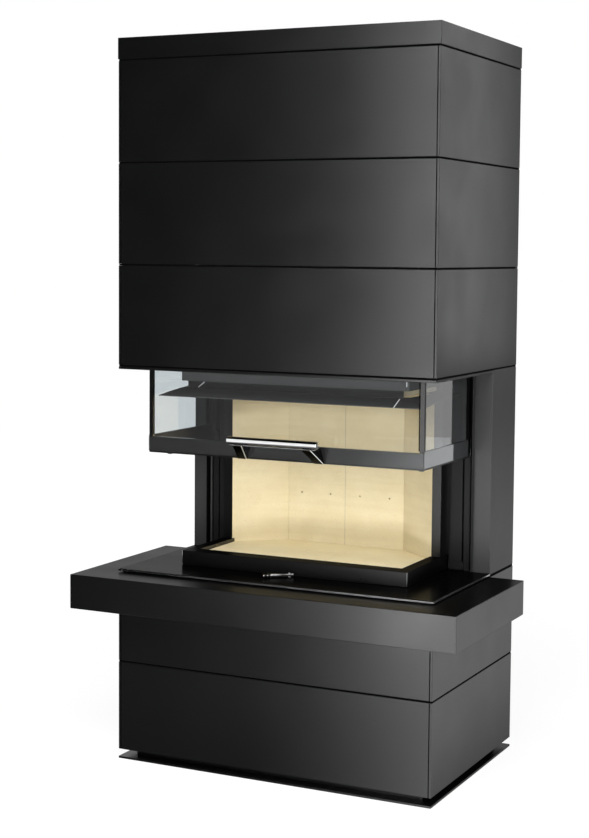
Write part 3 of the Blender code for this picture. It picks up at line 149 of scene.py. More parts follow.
# Lower and upper end of each pin
HOOD_GLINT_PINS = (
    ((-0.305, -0.145, 1.1085), (-0.2847, -0.145, 1.1242)),
    ((0.3359, -0.181, 1.0806), (0.3551, -0.181, 1.1065)),
    ((0.3593, -0.142, 1.1372), (0.3590, -0.142, 1.1567)),
)
# Bright lines down the tray's front corners, painted highlights
TRAY_LINE_RADIUS = 0.0010
TRAY_LINE_INSET = 0.0007
TRAY_LINE_SHORTER = 0.003
CLAY_JOINT_HALF = 0.0005
CLAY_JOINT_DEPTHS = (0.0005, 0.0002)
CLAY_JOINT_ENDS = (0.001, 0.002)

# Widths of softened edges
HAIR_EDGE = 0.0001
THIN_EDGE = 0.0002
STRIP_EDGE = 0.0003
COLUMN_STRIP_EDGE = 0.0004
COLLAR_EDGE = 0.0005
LEVER_PIN_EDGE = 0.0008
BAR_EDGE = 0.0012

# Angles between faces: smooth shading ends above the first, bevels start above the second
SMOOTH_BELOW = math.radians(35)
SHARP_ABOVE = math.radians(30)


# Finishes

def new_finish(name):
    """Material with one Principled shader; gives the material, its tree and that shader."""
    made = bpy.data.materials.new(name)
    made.use_nodes = True
    return made, made.node_tree, made.node_tree.nodes["Principled BSDF"]


def add(tree, kind, inputs=None, **settings):
    """One node, its settings, and its inputs as values or as the sockets that feed them."""
    made = tree.nodes.new(kind)
    for key, value in settings.items():
        setattr(made, key, value)
    for key, value in (inputs or {}).items():
        if isinstance(value, bpy.types.NodeSocket):
            tree.links.new(value, made.inputs[key])
        else:
            made.inputs[key].default_value = value
    return made


def ray_kinds(tree):
    """Light Path's outputs, the rays that show the room as it is, and those that show it blurred."""
    path = add(tree, "ShaderNodeLightPath").outputs
    through = path["Is Transmission Ray"]
    first_way = maths(tree, "LESS_THAN", path["Glossy Depth"], 0.5)
    clear_way = maths(tree, "MULTIPLY", through, first_way)
    mirror_way = maths(tree, "GREATER_THAN", path["Is Singular Ray"], through)
    sharp = maths(tree, "MAXIMUM", clear_way, mirror_way)
    seen = maths(tree, "MAXIMUM", path["Is Camera Ray"], sharp)
    glossy_or_through = maths(tree, "MAXIMUM", path["Is Glossy Ray"], through)
    blurred = maths(tree, "GREATER_THAN", glossy_or_through, seen)
    return path, seen, blurred


def surface_place(tree):
    """The piece's own coordinates, in metres."""
    return add(tree, "ShaderNodeTexCoord").outputs["Object"]


def noise(tree, place, scale, detail=2.0, roughness=0.5):
    """Cloudy pattern from 0 to 1."""
    inputs = {"Vector": place, "Scale": scale, "Detail": detail, "Roughness": roughness}
    return add(tree, "ShaderNodeTexNoise", inputs).outputs["Fac"]


def stretched(tree, place, scale):
    """Coordinates drawn out along an axis, for brush marks."""
    return add(tree, "ShaderNodeMapping", {"Vector": place, "Scale": scale}).outputs["Vector"]


def ranged(tree, value, low, high, to_low, to_high):
    """A value brought from one range to another, held at its ends."""
    inputs = {"Value": value, "From Min": low, "From Max": high, "To Min": to_low, "To Max": to_high}
    return add(tree, "ShaderNodeMapRange", inputs).outputs["Result"]


def maths(tree, operation, a, b):
    """Result of one operation on two values or sockets."""
    made = add(tree, "ShaderNodeMath", operation=operation)
    for socket, value in zip(made.inputs, (a, b)):
        if isinstance(value, bpy.types.NodeSocket):
            tree.links.new(value, socket)
        else:
            socket.default_value = value
    return made.outputs["Value"]


def coloured(tree, value, stops):
    """Colour ramp through stops of (place, colour)."""
    made = add(tree, "ShaderNodeValToRGB", {"Fac": value})
    band = made.color_ramp
    band.elements[0].position, band.elements[0].color = stops[0][0], (*stops[0][1], 1.0)
    band.elements[1].position, band.elements[1].color = stops[-1][0], (*stops[-1][1], 1.0)
    for place, colour in stops[1:-1]:
        band.elements.new(place).color = (*colour, 1.0)
    return made.outputs["Color"]


def multiplied(tree, colour, other):
    """Two colours multiplied."""
    made = add(tree, "ShaderNodeMix", data_type="RGBA", blend_type="MULTIPLY")
    made.inputs["Factor"].default_value = 1.0
    tree.links.new(colour, made.inputs[6])
    tree.links.new(other, made.inputs[7])
    return made.outputs[2]


def bumped(tree, shader, height, strength, distance):
    """Relief from a pattern."""
    inputs = {"Height": height, "Strength": strength, "Distance": distance}
    tree.links.new(add(tree, "ShaderNodeBump", inputs).outputs["Normal"], shader.inputs["Normal"])


def blended(tree, fac, first, second):
    """Surface that goes from one shader to another."""
    mixed = add(tree, "ShaderNodeMixShader", {"Fac": fac})
    tree.links.new(first.outputs["BSDF"], mixed.inputs[1])
    tree.links.new(second.outputs["BSDF"], mixed.inputs[2])
    tree.links.new(mixed.outputs["Shader"], tree.nodes["Material Output"].inputs["Surface"])


def flat_when_skimmed(tree, shader, colour, most):
    """The gloss gives way to a flat finish where the surface is seen at a shallow angle."""
    facing = add(tree, "ShaderNodeLayerWeight", {"Blend": 0.5}).outputs["Facing"]
    flat = add(tree, "ShaderNodeBsdfDiffuse", {"Color": colour})
    blended(tree, ranged(tree, facing, 0.64, 0.80, 0.0, most), shader, flat)


def textured_paint(name, dark, light, roughness, spread=0.01, relief=0.0, gloss=0.5, skim=0.65):
    """Fine sandy stove paint: speckled colour, uneven gloss and a grain that catches light."""
    made, tree, shader = new_finish(name)
    place = surface_place(tree)
    fine = noise(tree, place, 520.0, 3.0, 0.6)
    broad = noise(tree, place, 7.0, 4.0)
    colour = coloured(tree, fine, [(0.38, dark), (0.66, light)])
    tree.links.new(colour, shader.inputs["Base Color"])
    shader.inputs["Specular IOR Level"].default_value = gloss
    flat_when_skimmed(tree, shader, colour, skim)
    speckle = ranged(tree, noise(tree, place, 210.0, 2.0), 0.35, 0.65, -spread, spread)
    cloud = ranged(tree, broad, 0.35, 0.65, roughness - 0.02, roughness + 0.02)
    tree.links.new(maths(tree, "ADD", speckle, cloud), shader.inputs["Roughness"])
    if relief:
        bumped(tree, shader, fine, relief, 0.0004)
    return made


def gloss_paint(name):
    """Smooth black top coat with faint wipe marks."""
    made, tree, shader = new_finish(name)
    place = surface_place(tree)
    wiped = noise(tree, stretched(tree, place, (4.0, 22.0, 10.0)), 1.0, 5.0, 0.6)
    fine = noise(tree, place, 480.0, 2.0)
    colour = coloured(tree, fine, [(0.35, (0.0010, 0.0010, 0.0010)), (0.7, (0.0022, 0.0022, 0.0023))])
    tree.links.new(colour, shader.inputs["Base Color"])
    flat_when_skimmed(tree, shader, colour, 0.80)
    tree.links.new(ranged(tree, wiped, 0.3, 0.7, 0.17, 0.26), shader.inputs["Roughness"])
    bumped(tree, shader, fine, 0.05, 0.0002)
    return made


def fired_clay(name, deep, pale, roughness):
    """Pressed clay board: soft clouds, fine grain, faint press lines and a few pores."""
    made, tree, shader = new_finish(name)
    place = surface_place(tree)
    clouds = noise(tree, place, 11.0, 6.0, 0.62)
    body = coloured(tree, clouds, [(0.30, deep), (0.70, pale)])
    grain = noise(tree, place, 620.0, 3.0, 0.7)
    lines = noise(tree, stretched(tree, place, (3.0, 3.0, 60.0)), 1.0, 4.0)
    fleck = coloured(tree, grain, [(0.30, (0.90, 0.87, 0.82)), (0.60, (1.0, 1.0, 1.0))])
    pressed = coloured(tree, lines, [(0.35, (0.965, 0.955, 0.935)), (0.60, (1.0, 1.0, 1.0))])
    pores = add(tree, "ShaderNodeTexVoronoi", {"Vector": place, "Scale": 55.0}).outputs["Distance"]
    pitted = coloured(tree, pores, [(0.035, (0.74, 0.66, 0.52)), (0.085, (1.0, 1.0, 1.0))])
    colour = multiplied(tree, multiplied(tree, body, fleck), multiplied(tree, pressed, pitted))
    tree.links.new(colour, shader.inputs["Base Color"])
    rough = ranged(tree, clouds, 0.3, 0.7, roughness - 0.04, roughness + 0.04)
    tree.links.new(rough, shader.inputs["Roughness"])
    bumped(tree, shader, maths(tree, "ADD", grain, pores), 0.22, 0.0006)
    shader.inputs["Specular IOR Level"].default_value = 0.25
    return made


def polished_metal(name, dark, light, roughness, stretch):
    """Bright metal with fine lengthwise polish marks."""
    made, tree, shader = new_finish(name)
    marks = noise(tree, stretched(tree, surface_place(tree), stretch), 1.0, 4.0, 0.65)
    tree.links.new(coloured(tree, marks, [(0.3, dark), (0.7, light)]), shader.inputs["Base Color"])
    low, high = roughness
    if high > 0.0:
        tree.links.new(ranged(tree, marks, 0.3, 0.7, low, high), shader.inputs["Roughness"])
    else:
        shader.inputs["Roughness"].default_value = 0.0
    shader.inputs["Metallic"].default_value = 1.0
    bumped(tree, shader, marks, 0.03, 0.0001)
    return made


def black_seal_and_painted_shade(name):
    """Rough, hardly lit black for the panes' seals and for the painted shade in the panels' joints and
    beside the columns.
    """
    made, tree, shader = new_finish(name)
    fuzz = noise(tree, surface_place(tree), 900.0, 3.0)
    colour = coloured(tree, fuzz, [(0.3, (0.0004, 0.0004, 0.0004)), (0.7, (0.0012, 0.0012, 0.0012))])
    tree.links.new(colour, shader.inputs["Base Color"])
    shader.inputs["Roughness"].default_value = 1.0
    shader.inputs["Specular IOR Level"].default_value = 0.1
    return made


def clear_glass(name, tint, bending):
    """Fire glass that lets the lamps through, with the faintest clouds in its tint."""
    made, tree, shader = new_finish(name)
    clouds = noise(tree, surface_place(tree), 3.0, 2.0)
    deeper = tuple(part * 0.985 for part in tint)
    tree.links.new(coloured(tree, clouds, [(0.3, deeper), (0.7, tint)]), shader.inputs["Base Color"])
    shader.inputs["Transmission Weight"].default_value = 1.0
    shader.inputs["Roughness"].default_value = 0.0
    shader.inputs["IOR"].default_value = bending
    open_way = add(tree, "ShaderNodeBsdfTransparent", {"Color": (0.99, 0.995, 0.995, 1.0)})
    path = add(tree, "ShaderNodeLightPath")
    fac = maths(tree, "MAXIMUM", path.outputs["Is Shadow Ray"], path.outputs["Is Diffuse Ray"])
    blended(tree, fac, shader, open_way)
    return made


PAINT = textured_paint(
    "satin_paint", (0.0018, 0.0018, 0.0019), (0.0040, 0.0040, 0.0041), 0.32, spread=0.015, relief=0.03
)
STEEL_PAINT = textured_paint("black_steel", (0.0016, 0.0016, 0.0017), (0.0030, 0.0030, 0.0031), 0.32)
HOOD_STEEL = textured_paint("hood_steel", (0.056, 0.057, 0.0585), (0.060, 0.061, 0.0625), 0.45)
TRAY_STEEL = textured_paint(
    "tray_steel", (0.0014, 0.0014, 0.0015), (0.0026, 0.0026, 0.0027), 0.30, skim=0.9
)
GUIDE_STEEL = textured_paint(
    "guide_steel", (0.0110, 0.0110, 0.0113), (0.0145, 0.0145, 0.0148), 0.45, gloss=0.15
)
# The columns' paint is the cladding's black paint made paler and flatter: painted light, standing in
# for the sheen on the columns
COLUMN_PAINT_PAINTED_LIGHT = textured_paint(
    "column_paint_painted_light",
    (0.042, 0.042, 0.0425),
    (0.048, 0.048, 0.0485),
    0.42,
    spread=0.015,
    relief=0.03,
    gloss=0.32,
)
HEARTH = gloss_paint("hearth_gloss")
CLAY = fired_clay("fire_clay", (0.780, 0.685, 0.455), (0.845, 0.755, 0.530), roughness=0.88)
# The chamber floor's clay is the wall clay painted paler: painted light that makes up for the light the
# floor lacks
FLOOR_CLAY_PAINTED_LIGHT = fired_clay("floor_clay_painted_light", (0.900, 0.795, 0.535), (0.950, 0.865, 0.620), roughness=0.88)
STORAGE = fired_clay("storage_clay", (0.30, 0.26, 0.22), (0.44, 0.40, 0.35), roughness=0.92)
GLASS = clear_glass("front_glass", (0.950, 0.970, 0.975), bending=1.34)
SIDE_GLASS = clear_glass("side_glass", (0.700, 0.750, 0.775), bending=1.75)
CHROME, BARE, DARK_STEEL, HIGHLIGHT_STEEL, LEVER_STEEL, HIGHLIGHT_RIM_STEEL, IRON = (
    polished_metal(name, dark, light, roughness, stretch)
    for name, dark, light, roughness, stretch in (
        ("chrome", (0.82, 0.82, 0.83), (0.92, 0.92, 0.93), (0.0, 0.0), (30.0, 900.0, 900.0)),
        ("bare_steel", (0.42, 0.43, 0.45), (0.55, 0.56, 0.58), (0.16, 0.28), (900.0, 900.0, 40.0)),
        ("dark_steel", (0.020, 0.020, 0.021), (0.035, 0.035, 0.036), (0.12, 0.18), (60.0, 60.0, 60.0)),
        # Bright steel for painted highlights: the handle legs' chamfers and the hood's pins
        ("highlight_steel", (0.80, 0.80, 0.81), (0.95, 0.95, 0.96), (0.45, 0.55), (60.0, 60.0, 60.0)),
        ("lever_steel", (0.24, 0.24, 0.245), (0.38, 0.38, 0.385), (0.10, 0.18), (90.0, 90.0, 90.0)),
        # Pale steel for the painted highlights along the hearth plate's and the tray's edges
        ("highlight_rim_steel", (0.34, 0.34, 0.345), (0.42, 0.42, 0.425), (0.34, 0.40), (6.0, 6.0, 6.0)),
        ("weight_iron", (0.09, 0.09, 0.095), (0.16, 0.16, 0.165), (0.50, 0.65), (60.0, 60.0, 60.0)),
    )
)
SEAL_AND_SHADE_BLACK = black_seal_and_painted_shade("black_seal_and_painted_shade")

BY_SLOT = {
    "paint": PAINT,
    "black_steel": STEEL_PAINT,
    "hearth_gloss": HEARTH,
    "clay": CLAY,
    "storage_clay": STORAGE,
    "glass": GLASS,
    "chrome": CHROME,
    "bare_steel": BARE,
    "weight_iron": IRON,
}

# Nodes whose finish differs from their slot's
OWN_FINISH = {
    "firebox_tray": TRAY_STEEL,
    "door_guide_left": GUIDE_STEEL,
    "door_guide_right": GUIDE_STEEL,
    # The columns take the paler paint, as painted light
    "column_left": COLUMN_PAINT_PAINTED_LIGHT,
    "column_right": COLUMN_PAINT_PAINTED_LIGHT,
    # The chamber floor takes the paler clay, as painted light
    "clay_floor": FLOOR_CLAY_PAINTED_LIGHT,
    "smoke_hood": HOOD_STEEL,
    "deflector": HOOD_STEEL,
    "side_pane_left": SIDE_GLASS,
    "side_pane_right": SIDE_GLASS,
}

for part in frame["record"]["subparts"]:
    mesh = nodes[part["node"]].data
    mesh.materials.clear()
    mesh.materials.append(OWN_FINISH.get(part["node"], BY_SLOT[part["material_slot"]]))


# Fittings, of which some stand for plain CAD nodes, and strips, lines and pins that paint shade and
# highlights

def piece_from(shape, name, finish, slot, body, *stands_for):
    """Object from a bmesh, riding on a body."""
    mesh = bpy.data.meshes.new(name)
    bmesh.ops.recalc_face_normals(shape, faces=shape.faces)
    shape.to_mesh(mesh)
    shape.free()
    mesh.materials.append(finish)
    mesh.shade_smooth()
    mesh.set_sharp_from_angle(angle=SMOOTH_BELOW)
    made = bpy.data.objects.new(name, mesh)
    bpy.context.scene.collection.objects.link(made)
    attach(made, body)
    if stands_for:
        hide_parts(*stands_for)
    return made


def softened(shape, edges, width, segments):
    """Bevel with the editor's settings; gives the new faces."""
    made = bmesh.ops.bevel(
        shape, geom=edges, offset=width, segments=segments, profile=0.5, affect="EDGES", material=-1
    )
    return made["faces"]


def sharp_edges(faces):
    """Edges of some faces that bend enough to be softened, in the same order each run."""
    edges = dict.fromkeys(edge for face in faces for edge in face.edges)
    return [edge for edge in edges if edge.calc_face_angle(0.0) > SHARP_ABOVE]


def box_shape(shape, low, high, width):
    """Box between two corners with softened edges, added to a bmesh."""
    size = Vector(high) - Vector(low)
    centre = (Vector(high) + Vector(low)) / 2
    made = bmesh.ops.create_cube(shape, size=1.0)
    bmesh.ops.scale(shape, vec=size, verts=made["verts"])
    bmesh.ops.translate(shape, vec=centre, verts=made["verts"])
    edges = dict.fromkeys(edge for vertex in made["verts"] for edge in vertex.link_edges)
    softened(shape, list(edges), width, 1)


def rod_shape(shape, radius, length, matrix, width, sides):
    """Round bar along its own Z axis, put in place by a matrix; a width softens its rims."""
    # Made apart, because a bevel in a shape that already holds others can order its faces anew each run
    rod = bmesh.new()
    bmesh.ops.create_cone(
        rod,
        cap_ends=True,
        segments=sides,
        radius1=radius,
        radius2=radius,
        depth=length,
        matrix=matrix,
    )
    if width:
        softened(rod, sharp_edges(face for face in rod.faces if len(face.verts) > 4), width, 3)
    mesh = bpy.data.meshes.new("rod")
    rod.to_mesh(mesh)
    rod.free()
    shape.from_mesh(mesh)
    bpy.data.meshes.remove(mesh)


def on_side(side, inner, outer):
    """Low and high x between two distances from the middle, on one side."""
    return sorted((side * inner, side * outer))


def handle_bar():
    """Polished bar with turned end rims, and the dark fin along its underside with its bright trim."""
    shape = bmesh.new()
    along = Matrix.Translation((0.0, HANDLE_Y, HANDLE_Z)) @ Matrix.Rotation(math.pi / 2, 4, "Y")
    rod_shape(shape, HANDLE_RADIUS, 2 * HANDLE_HALF, along, BAR_EDGE, sides=96)
    piece_from(shape, "handle_bar_polished", CHROME, "chrome", "door", "handle_bar")
    half = HANDLE_HALF - FIN_WIDTH
    fin_bottom = HANDLE_Z - FIN_DROP
    fin = bmesh.new()
    low = (-half, HANDLE_Y - FIN_WIDTH / 2, fin_bottom + FIN_TRIM)
    high = (half, HANDLE_Y + FIN_WIDTH / 2, HANDLE_Z - HANDLE_RADIUS / 2)
    box_shape(fin, low, high, STRIP_EDGE)
    piece_from(fin, "handle_fin", DARK_STEEL, "chrome", "door")
    trim = bmesh.new()
    low = (-half, HANDLE_Y - FIN_WIDTH / 2, fin_bottom)
    high = (half, HANDLE_Y + FIN_WIDTH / 2, fin_bottom + FIN_TRIM)
    box_shape(trim, low, high, THIN_EDGE)
    piece_from(trim, "handle_fin_trim", CHROME, "chrome", "door")


def handle_leg(side, word):
    """Wedge leg of one steel, its faces painted near-black as shade and the chamfers down its front
    edges painted bright as highlights.
    """
    top = HANDLE_Z - FIN_DROP - JOINT_CLEARANCE
    rear = DOOR_FRONT - JOINT_CLEARANCE
    profile = (
        (HANDLE_Y - LEG_BROW, top),
        (rear, top),
        (rear, DOOR_BOTTOM),
        (rear - LEG_TOE, DOOR_BOTTOM),
    )
    shape = bmesh.new()
    start = side * LEG_AT - LEG_WIDTH / 2
    outline = [shape.verts.new((start, y, z)) for y, z in profile]
    pulled = bmesh.ops.extrude_face_region(shape, geom=[shape.faces.new(outline)])
    far_side = [part for part in pulled["geom"] if isinstance(part, bmesh.types.BMVert)]
    bmesh.ops.translate(shape, vec=(LEG_WIDTH, 0.0, 0.0), verts=far_side)
    for vertex in shape.verts:
        vertex.co.x += side * LEG_SPLAY * (top - vertex.co.z) / (top - DOOR_BOTTOM)
    bmesh.ops.recalc_face_normals(shape, faces=shape.faces)
    front_edges = []
    for edge in shape.edges:
        low, high = sorted((vertex.co for vertex in edge.verts), key=lambda place: place.z)
        if high.z - low.z > 0.5 * (top - DOOR_BOTTOM) and low.y < rear - LEG_TOE / 2:
            front_edges.append(edge)
    # The chamfers take the bright steel as painted highlights; the faces keep the near-black as painted
    # shade
    for face in softened(shape, front_edges, LEG_CHAMFER, 1):
        face.material_index = 1
    node = "handle_leg_" + word
    leg = piece_from(shape, node + "_dark", DARK_STEEL, "bare_steel", "door", node)
    leg.data.materials.append(HIGHLIGHT_STEEL)


def air_lever():
    """Lever with a turned pin, a leaf-shaped blade and two balls on a thin neck."""
    shape = bmesh.new()
    turn = Matrix.Rotation(LEVER_ANGLE, 4, "Z")
    middle = HEARTH_TOP + LEVER_RISE
    length = BLADE_SIZE.x
    bmesh.ops.create_cube(shape, size=1.0)
    bmesh.ops.scale(shape, vec=BLADE_SIZE, verts=shape.verts)
    lengthwise = [
        edge for edge in shape.edges if abs(edge.verts[0].co.x - edge.verts[1].co.x) > length / 2
    ]
    bmesh.ops.subdivide_edges(shape, edges=lengthwise, cuts=BLADE_CUTS)
    for vertex in shape.verts:
        share = (vertex.co.x + length / 2) / length
        arch = BLADE_ARCH_START + BLADE_ARCH_SPAN * share
        vertex.co.y *= BLADE_BASE + BLADE_SWELL * math.sin(math.pi * arch)
        vertex.co.z *= BLADE_LOW + BLADE_GROWTH * share
    bmesh.ops.translate(shape, vec=(BLADE_AT, 0.0, middle), verts=shape.verts)
    softened(shape, sharp_edges(shape.faces), BLADE_EDGE, 2)
    pin_middle = Matrix.Translation((0.0, 0.0, HEARTH_TOP + LEVER_PIN_RISE - LEVER_PIN_LENGTH / 2))
    rod_shape(shape, LEVER_PIN_RADIUS, LEVER_PIN_LENGTH, pin_middle, LEVER_PIN_EDGE, sides=48)
    collar_middle = Matrix.Translation((0.0, 0.0, HEARTH_TOP + COLLAR_RISE))
    rod_shape(shape, COLLAR_RADIUS, COLLAR_HEIGHT, collar_middle, COLLAR_EDGE, sides=48)
    along = Matrix.Translation((NECK_AT, 0.0, middle)) @ Matrix.Rotation(math.pi / 2, 4, "Y")
    rod_shape(shape, NECK_RADIUS, NECK_LENGTH, along, 0.0, sides=24)
    for at, radius in BALLS:
        centre = Matrix.Translation((at, 0.0, middle))
        bmesh.ops.create_uvsphere(shape, u_segments=32, v_segments=20, radius=radius, matrix=centre)
    bmesh.ops.transform(shape, matrix=Matrix.Translation(LEVER_AT) @ turn, verts=shape.verts)
    piece_from(shape, "air_lever_polished", LEVER_STEEL, "chrome", "air_control", "air_lever")


def flue():
    """Round flue pipe with its wall."""
    low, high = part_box("flue_pipe")
    shape = bmesh.new()
    middle = Matrix.Translation((FLUE_AT.x, FLUE_AT.y, (low.z + high.z) / 2))
    bmesh.ops.create_cone(
        shape,
        cap_ends=False,
        segments=128,
        radius1=FLUE_RADIUS,
        radius2=FLUE_RADIUS,
        depth=high.z - low.z,
        matrix=middle,
    )
    pipe = piece_from(shape, "flue_pipe_round", BARE, "bare_steel", "fireplace", "flue_pipe")
    wall = pipe.modifiers.new("wall", "SOLIDIFY")
    wall.thickness = FLUE_WALL
    wall.offset = -1.0


def joint_shade_strips():
    """Black strips in the joints between the panel tiers, and at the columns' feet: painted shade that
    darkens the joints.
    """
    shape = bmesh.new()
    outer = SIDE - JOINT_RECESS
    inner = SIDE - PANEL + JOINT_CLEARANCE
    front = FRONT + JOINT_RECESS
    for bottom, top in TIER_JOINTS:
        low, high = bottom + JOINT_CLEARANCE, top - JOINT_CLEARANCE
        panel_rear = FRONT + PANEL - JOINT_CLEARANCE
        box_shape(shape, (-inner, front, low), (inner, panel_rear, high), STRIP_EDGE)
        for side in (-1, 1):
            left, right = on_side(side, inner, outer)
            box_shape(shape, (left, front, low), (right, BACK - JOINT_RECESS, high), STRIP_EDGE)
    low, high = COLUMN_JOINT[0] + JOINT_CLEARANCE, COLUMN_JOINT[1] - JOINT_CLEARANCE
    column_front = COLUMN_FRONT + JOINT_RECESS
    for side in (-1, 1):
        left, right = on_side(side, inner, outer)
        box_shape(shape, (left, column_front, low), (right, BACK - JOINT_RECESS, high), STRIP_EDGE)
    piece_from(shape, "joint_shade_strips", SEAL_AND_SHADE_BLACK, "black_steel", "fireplace")


def corner_shade_strips():
    """Black strips over the upright joints where the front panels meet the side panels: painted shade
    that darkens these joints.
    """
    shape = bmesh.new()
    for bottom, top in TIERS:
        for side in (-1, 1):
            left, right = on_side(side, *CORNER_SEAM)
            low = (left, FRONT - SEAM_SKIN, bottom + SEAM_MARGIN)
            high = (right, FRONT + PANEL / 2, top - SEAM_MARGIN)
            box_shape(shape, low, high, THIN_EDGE)
    piece_from(shape, "corner_shade_strips", SEAL_AND_SHADE_BLACK, "black_steel", "fireplace")


def pane_seals():
    """Black seals over the side panes' rear ends, and a black border down the front pane's ends."""
    shape = bmesh.new()
    bottom = RAIL_TOP + SEAL_START
    for side in (-1, 1):
        for inner in (PANE_INNER - SEAL_SKIN - JOINT_CLEARANCE, PANE_OUTER + JOINT_CLEARANCE):
            left, right = on_side(side, inner, inner + SEAL_SKIN)
            low = (left, PANE_REAR - SEAL_LAP, bottom)
            box_shape(shape, low, (right, PANE_REAR, PANE_TOP), STRIP_EDGE)
        left, right = on_side(side, FRONT_PANE_HALF - BORDER, FRONT_PANE_HALF)
        low = (left, FRONT_PANE_FACE - BORDER_SKIN, bottom)
        high = (right, FRONT_PANE_FACE - JOINT_CLEARANCE, PANE_TOP)
        box_shape(shape, low, high, HAIR_EDGE)
    piece_from(shape, "pane_seals", SEAL_AND_SHADE_BLACK, "black_steel", "door")


def hood_glint_pins():
    """Thin bright pins at the corners of the hood and its deflector: painted highlights where those
    corners glint.
    """
    shape = bmesh.new()
    for start, end in HOOD_GLINT_PINS:
        line = Vector(end) - Vector(start)
        turn = line.to_track_quat("Z", "Y").to_matrix().to_4x4()
        middle = Matrix.Translation((Vector(start) + Vector(end)) / 2)
        rod_shape(shape, PIN_RADIUS, line.length, middle @ turn, STRIP_EDGE, sides=20)
    piece_from(shape, "hood_glint_pins", HIGHLIGHT_STEEL, "bare_steel", "fireplace")


def hearth_edge_highlight():
    """Pale steel skin round the front and sides of the hearth plate: a painted highlight along the
    plate's edges.
    """
    shape = bmesh.new()
    plate_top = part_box("hearth_plate")[1].z
    bottom = plate_top - HEARTH_PLATE + RIM_INSET
    top = plate_top - RIM_INSET
    inner = SIDE + JOINT_CLEARANCE
    outer = inner + RIM_SKIN
    front = FRONT - JOINT_CLEARANCE
    rear = COLUMN_FRONT - RIM_REAR_GAP
    box_shape(shape, (-outer, front - RIM_SKIN, bottom), (outer, front, top), THIN_EDGE)
    for side in (-1, 1):
        left, right = on_side(side, inner, outer)
        box_shape(shape, (left, front, bottom), (right, rear, top), THIN_EDGE)
    piece_from(shape, "hearth_plate_highlight_rim", HIGHLIGHT_RIM_STEEL, "bare_steel", "fireplace")


def tray_corner_highlight():
    """Bright line down the tray's front corners: a painted highlight on those edges."""
    shape = bmesh.new()
    low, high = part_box("firebox_tray")
    for side in (-1, 1):
        x = high.x if side > 0 else low.x
        centre = (x - side * TRAY_LINE_INSET, low.y + TRAY_LINE_INSET, (low.z + high.z) / 2)
        length = high.z - low.z - TRAY_LINE_SHORTER
        rod_shape(shape, TRAY_LINE_RADIUS, length, Matrix.Translation(centre), THIN_EDGE, sides=16)
    piece_from(shape, "tray_corner_highlight_lines", HIGHLIGHT_RIM_STEEL, "bare_steel", "fireplace")


def clay_joint():
    """Dark joint between the two back slabs of the clay lining."""
    shape = bmesh.new()
    low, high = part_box("clay_back_left")
    floor_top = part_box("clay_floor")[1].z
    front, rear = (low.y - depth for depth in CLAY_JOINT_DEPTHS)
    bottom, top = floor_top + CLAY_JOINT_ENDS[0], high.z - CLAY_JOINT_ENDS[1]
    box_shape(shape, (-CLAY_JOINT_HALF, front, bottom), (CLAY_JOINT_HALF, rear, top), HAIR_EDGE)
    piece_from(shape, "clay_joint", STORAGE, "storage_clay", "fireplace")


def column_gap_shade_strips():
    """Black strips before the columns, beside the door: painted shade in the gaps there; their outer
    sides are painted with the columns' paler paint.
    """
    shape = bmesh.new()
    inner = DOOR_HALF + COLUMN_STRIP_GAP
    for side in (-1, 1):
        left, right = on_side(side, inner, inner + COLUMN_STRIP_WIDTH)
        low = (left, DOOR_REAR + JOINT_CLEARANCE, COLUMN_STRIP_BOTTOM)
        high = (right, COLUMN_FRONT - JOINT_CLEARANCE, COLUMN_STRIP_TOP)
        box_shape(shape, low, high, COLUMN_STRIP_EDGE)
    for face in shape.faces:
        if abs(face.calc_center_median().x) > inner + 0.9 * COLUMN_STRIP_WIDTH:
            face.material_index = 1
    dark_strips = piece_from(shape, "column_gap_shade_strips", SEAL_AND_SHADE_BLACK, "black_steel", "fireplace")
    dark_strips.data.materials.append(COLUMN_PAINT_PAINTED_LIGHT)


def cover_glass():
    """Lower edge of the door glass, which runs down over the door's bottom rails."""
    shape = bmesh.new()
    low = DOOR_BOTTOM + GLASS_LIP
    front = DOOR_FRONT - COVER_GLASS
    high = (DOOR_HALF, DOOR_FRONT - JOINT_CLEARANCE, RAIL_TOP)
    box_shape(shape, (-DOOR_HALF, front, low), high, STRIP_EDGE)
    piece_from(shape, "front_glass_lower_edge", GLASS, "glass", "door")
    sides = bmesh.new()
    for side in (-1, 1):
        left, right = on_side(side, DOOR_HALF + JOINT_CLEARANCE, DOOR_HALF + COVER_GLASS)
        box_shape(sides, (left, front, low), (right, DOOR_REAR, SIDE_RAIL_TOP), STRIP_EDGE)
    piece_from(sides, "side_glass_lower_edges", SIDE_GLASS, "glass", "door")


handle_bar()
handle_leg(-1, "left")
handle_leg(1, "right")
air_lever()
flue()
joint_shade_strips()
corner_shade_strips()
column_gap_shade_strips()
pane_seals()
hood_glint_pins()
hearth_edge_highlight()
tray_corner_highlight()
clay_joint()
cover_glass()


# Studio

# The floor in metres, with the ranges and strengths of its glow and its paleness, and where its painted
# shadow ends
FLOOR_RADIUS = 9.0
FLOOR_DROP = 0.0006
GLOW_SLANT = 0.43
FRONT_GLOW_REACH = (-0.05, 0.68)
FRONT_GLOW_CURVE = 2.5
FRONT_GLOW_POWER = 2.6
SIDE_GLOW_REACH = (0.4, 0.9)
SIDE_GLOW_POWER = (0.22, 0.92)
MIRRORED_FLOOR_SHADOW = (1.4, 1.9, 0.1, 1.0)
FLOOR_PALENESS = (1.2, 4.0, 0.92, 1.0)
AMBIENT = 0.28

# Where the room is mirrored: a direction's range, and the strengths at its ends
RIGHT_SIDE = (-0.15, 0.30, 0.0, 0.055)
FAR_WALL = (0.3, 0.8, 0.0, 1.1)
FAR_WALL_LEFT = (-0.45, -0.15, 1.0, 0.0)
RIGHT_WALL = (0.78, 0.92, 0.0, 1.5)
CEILING = 0.55

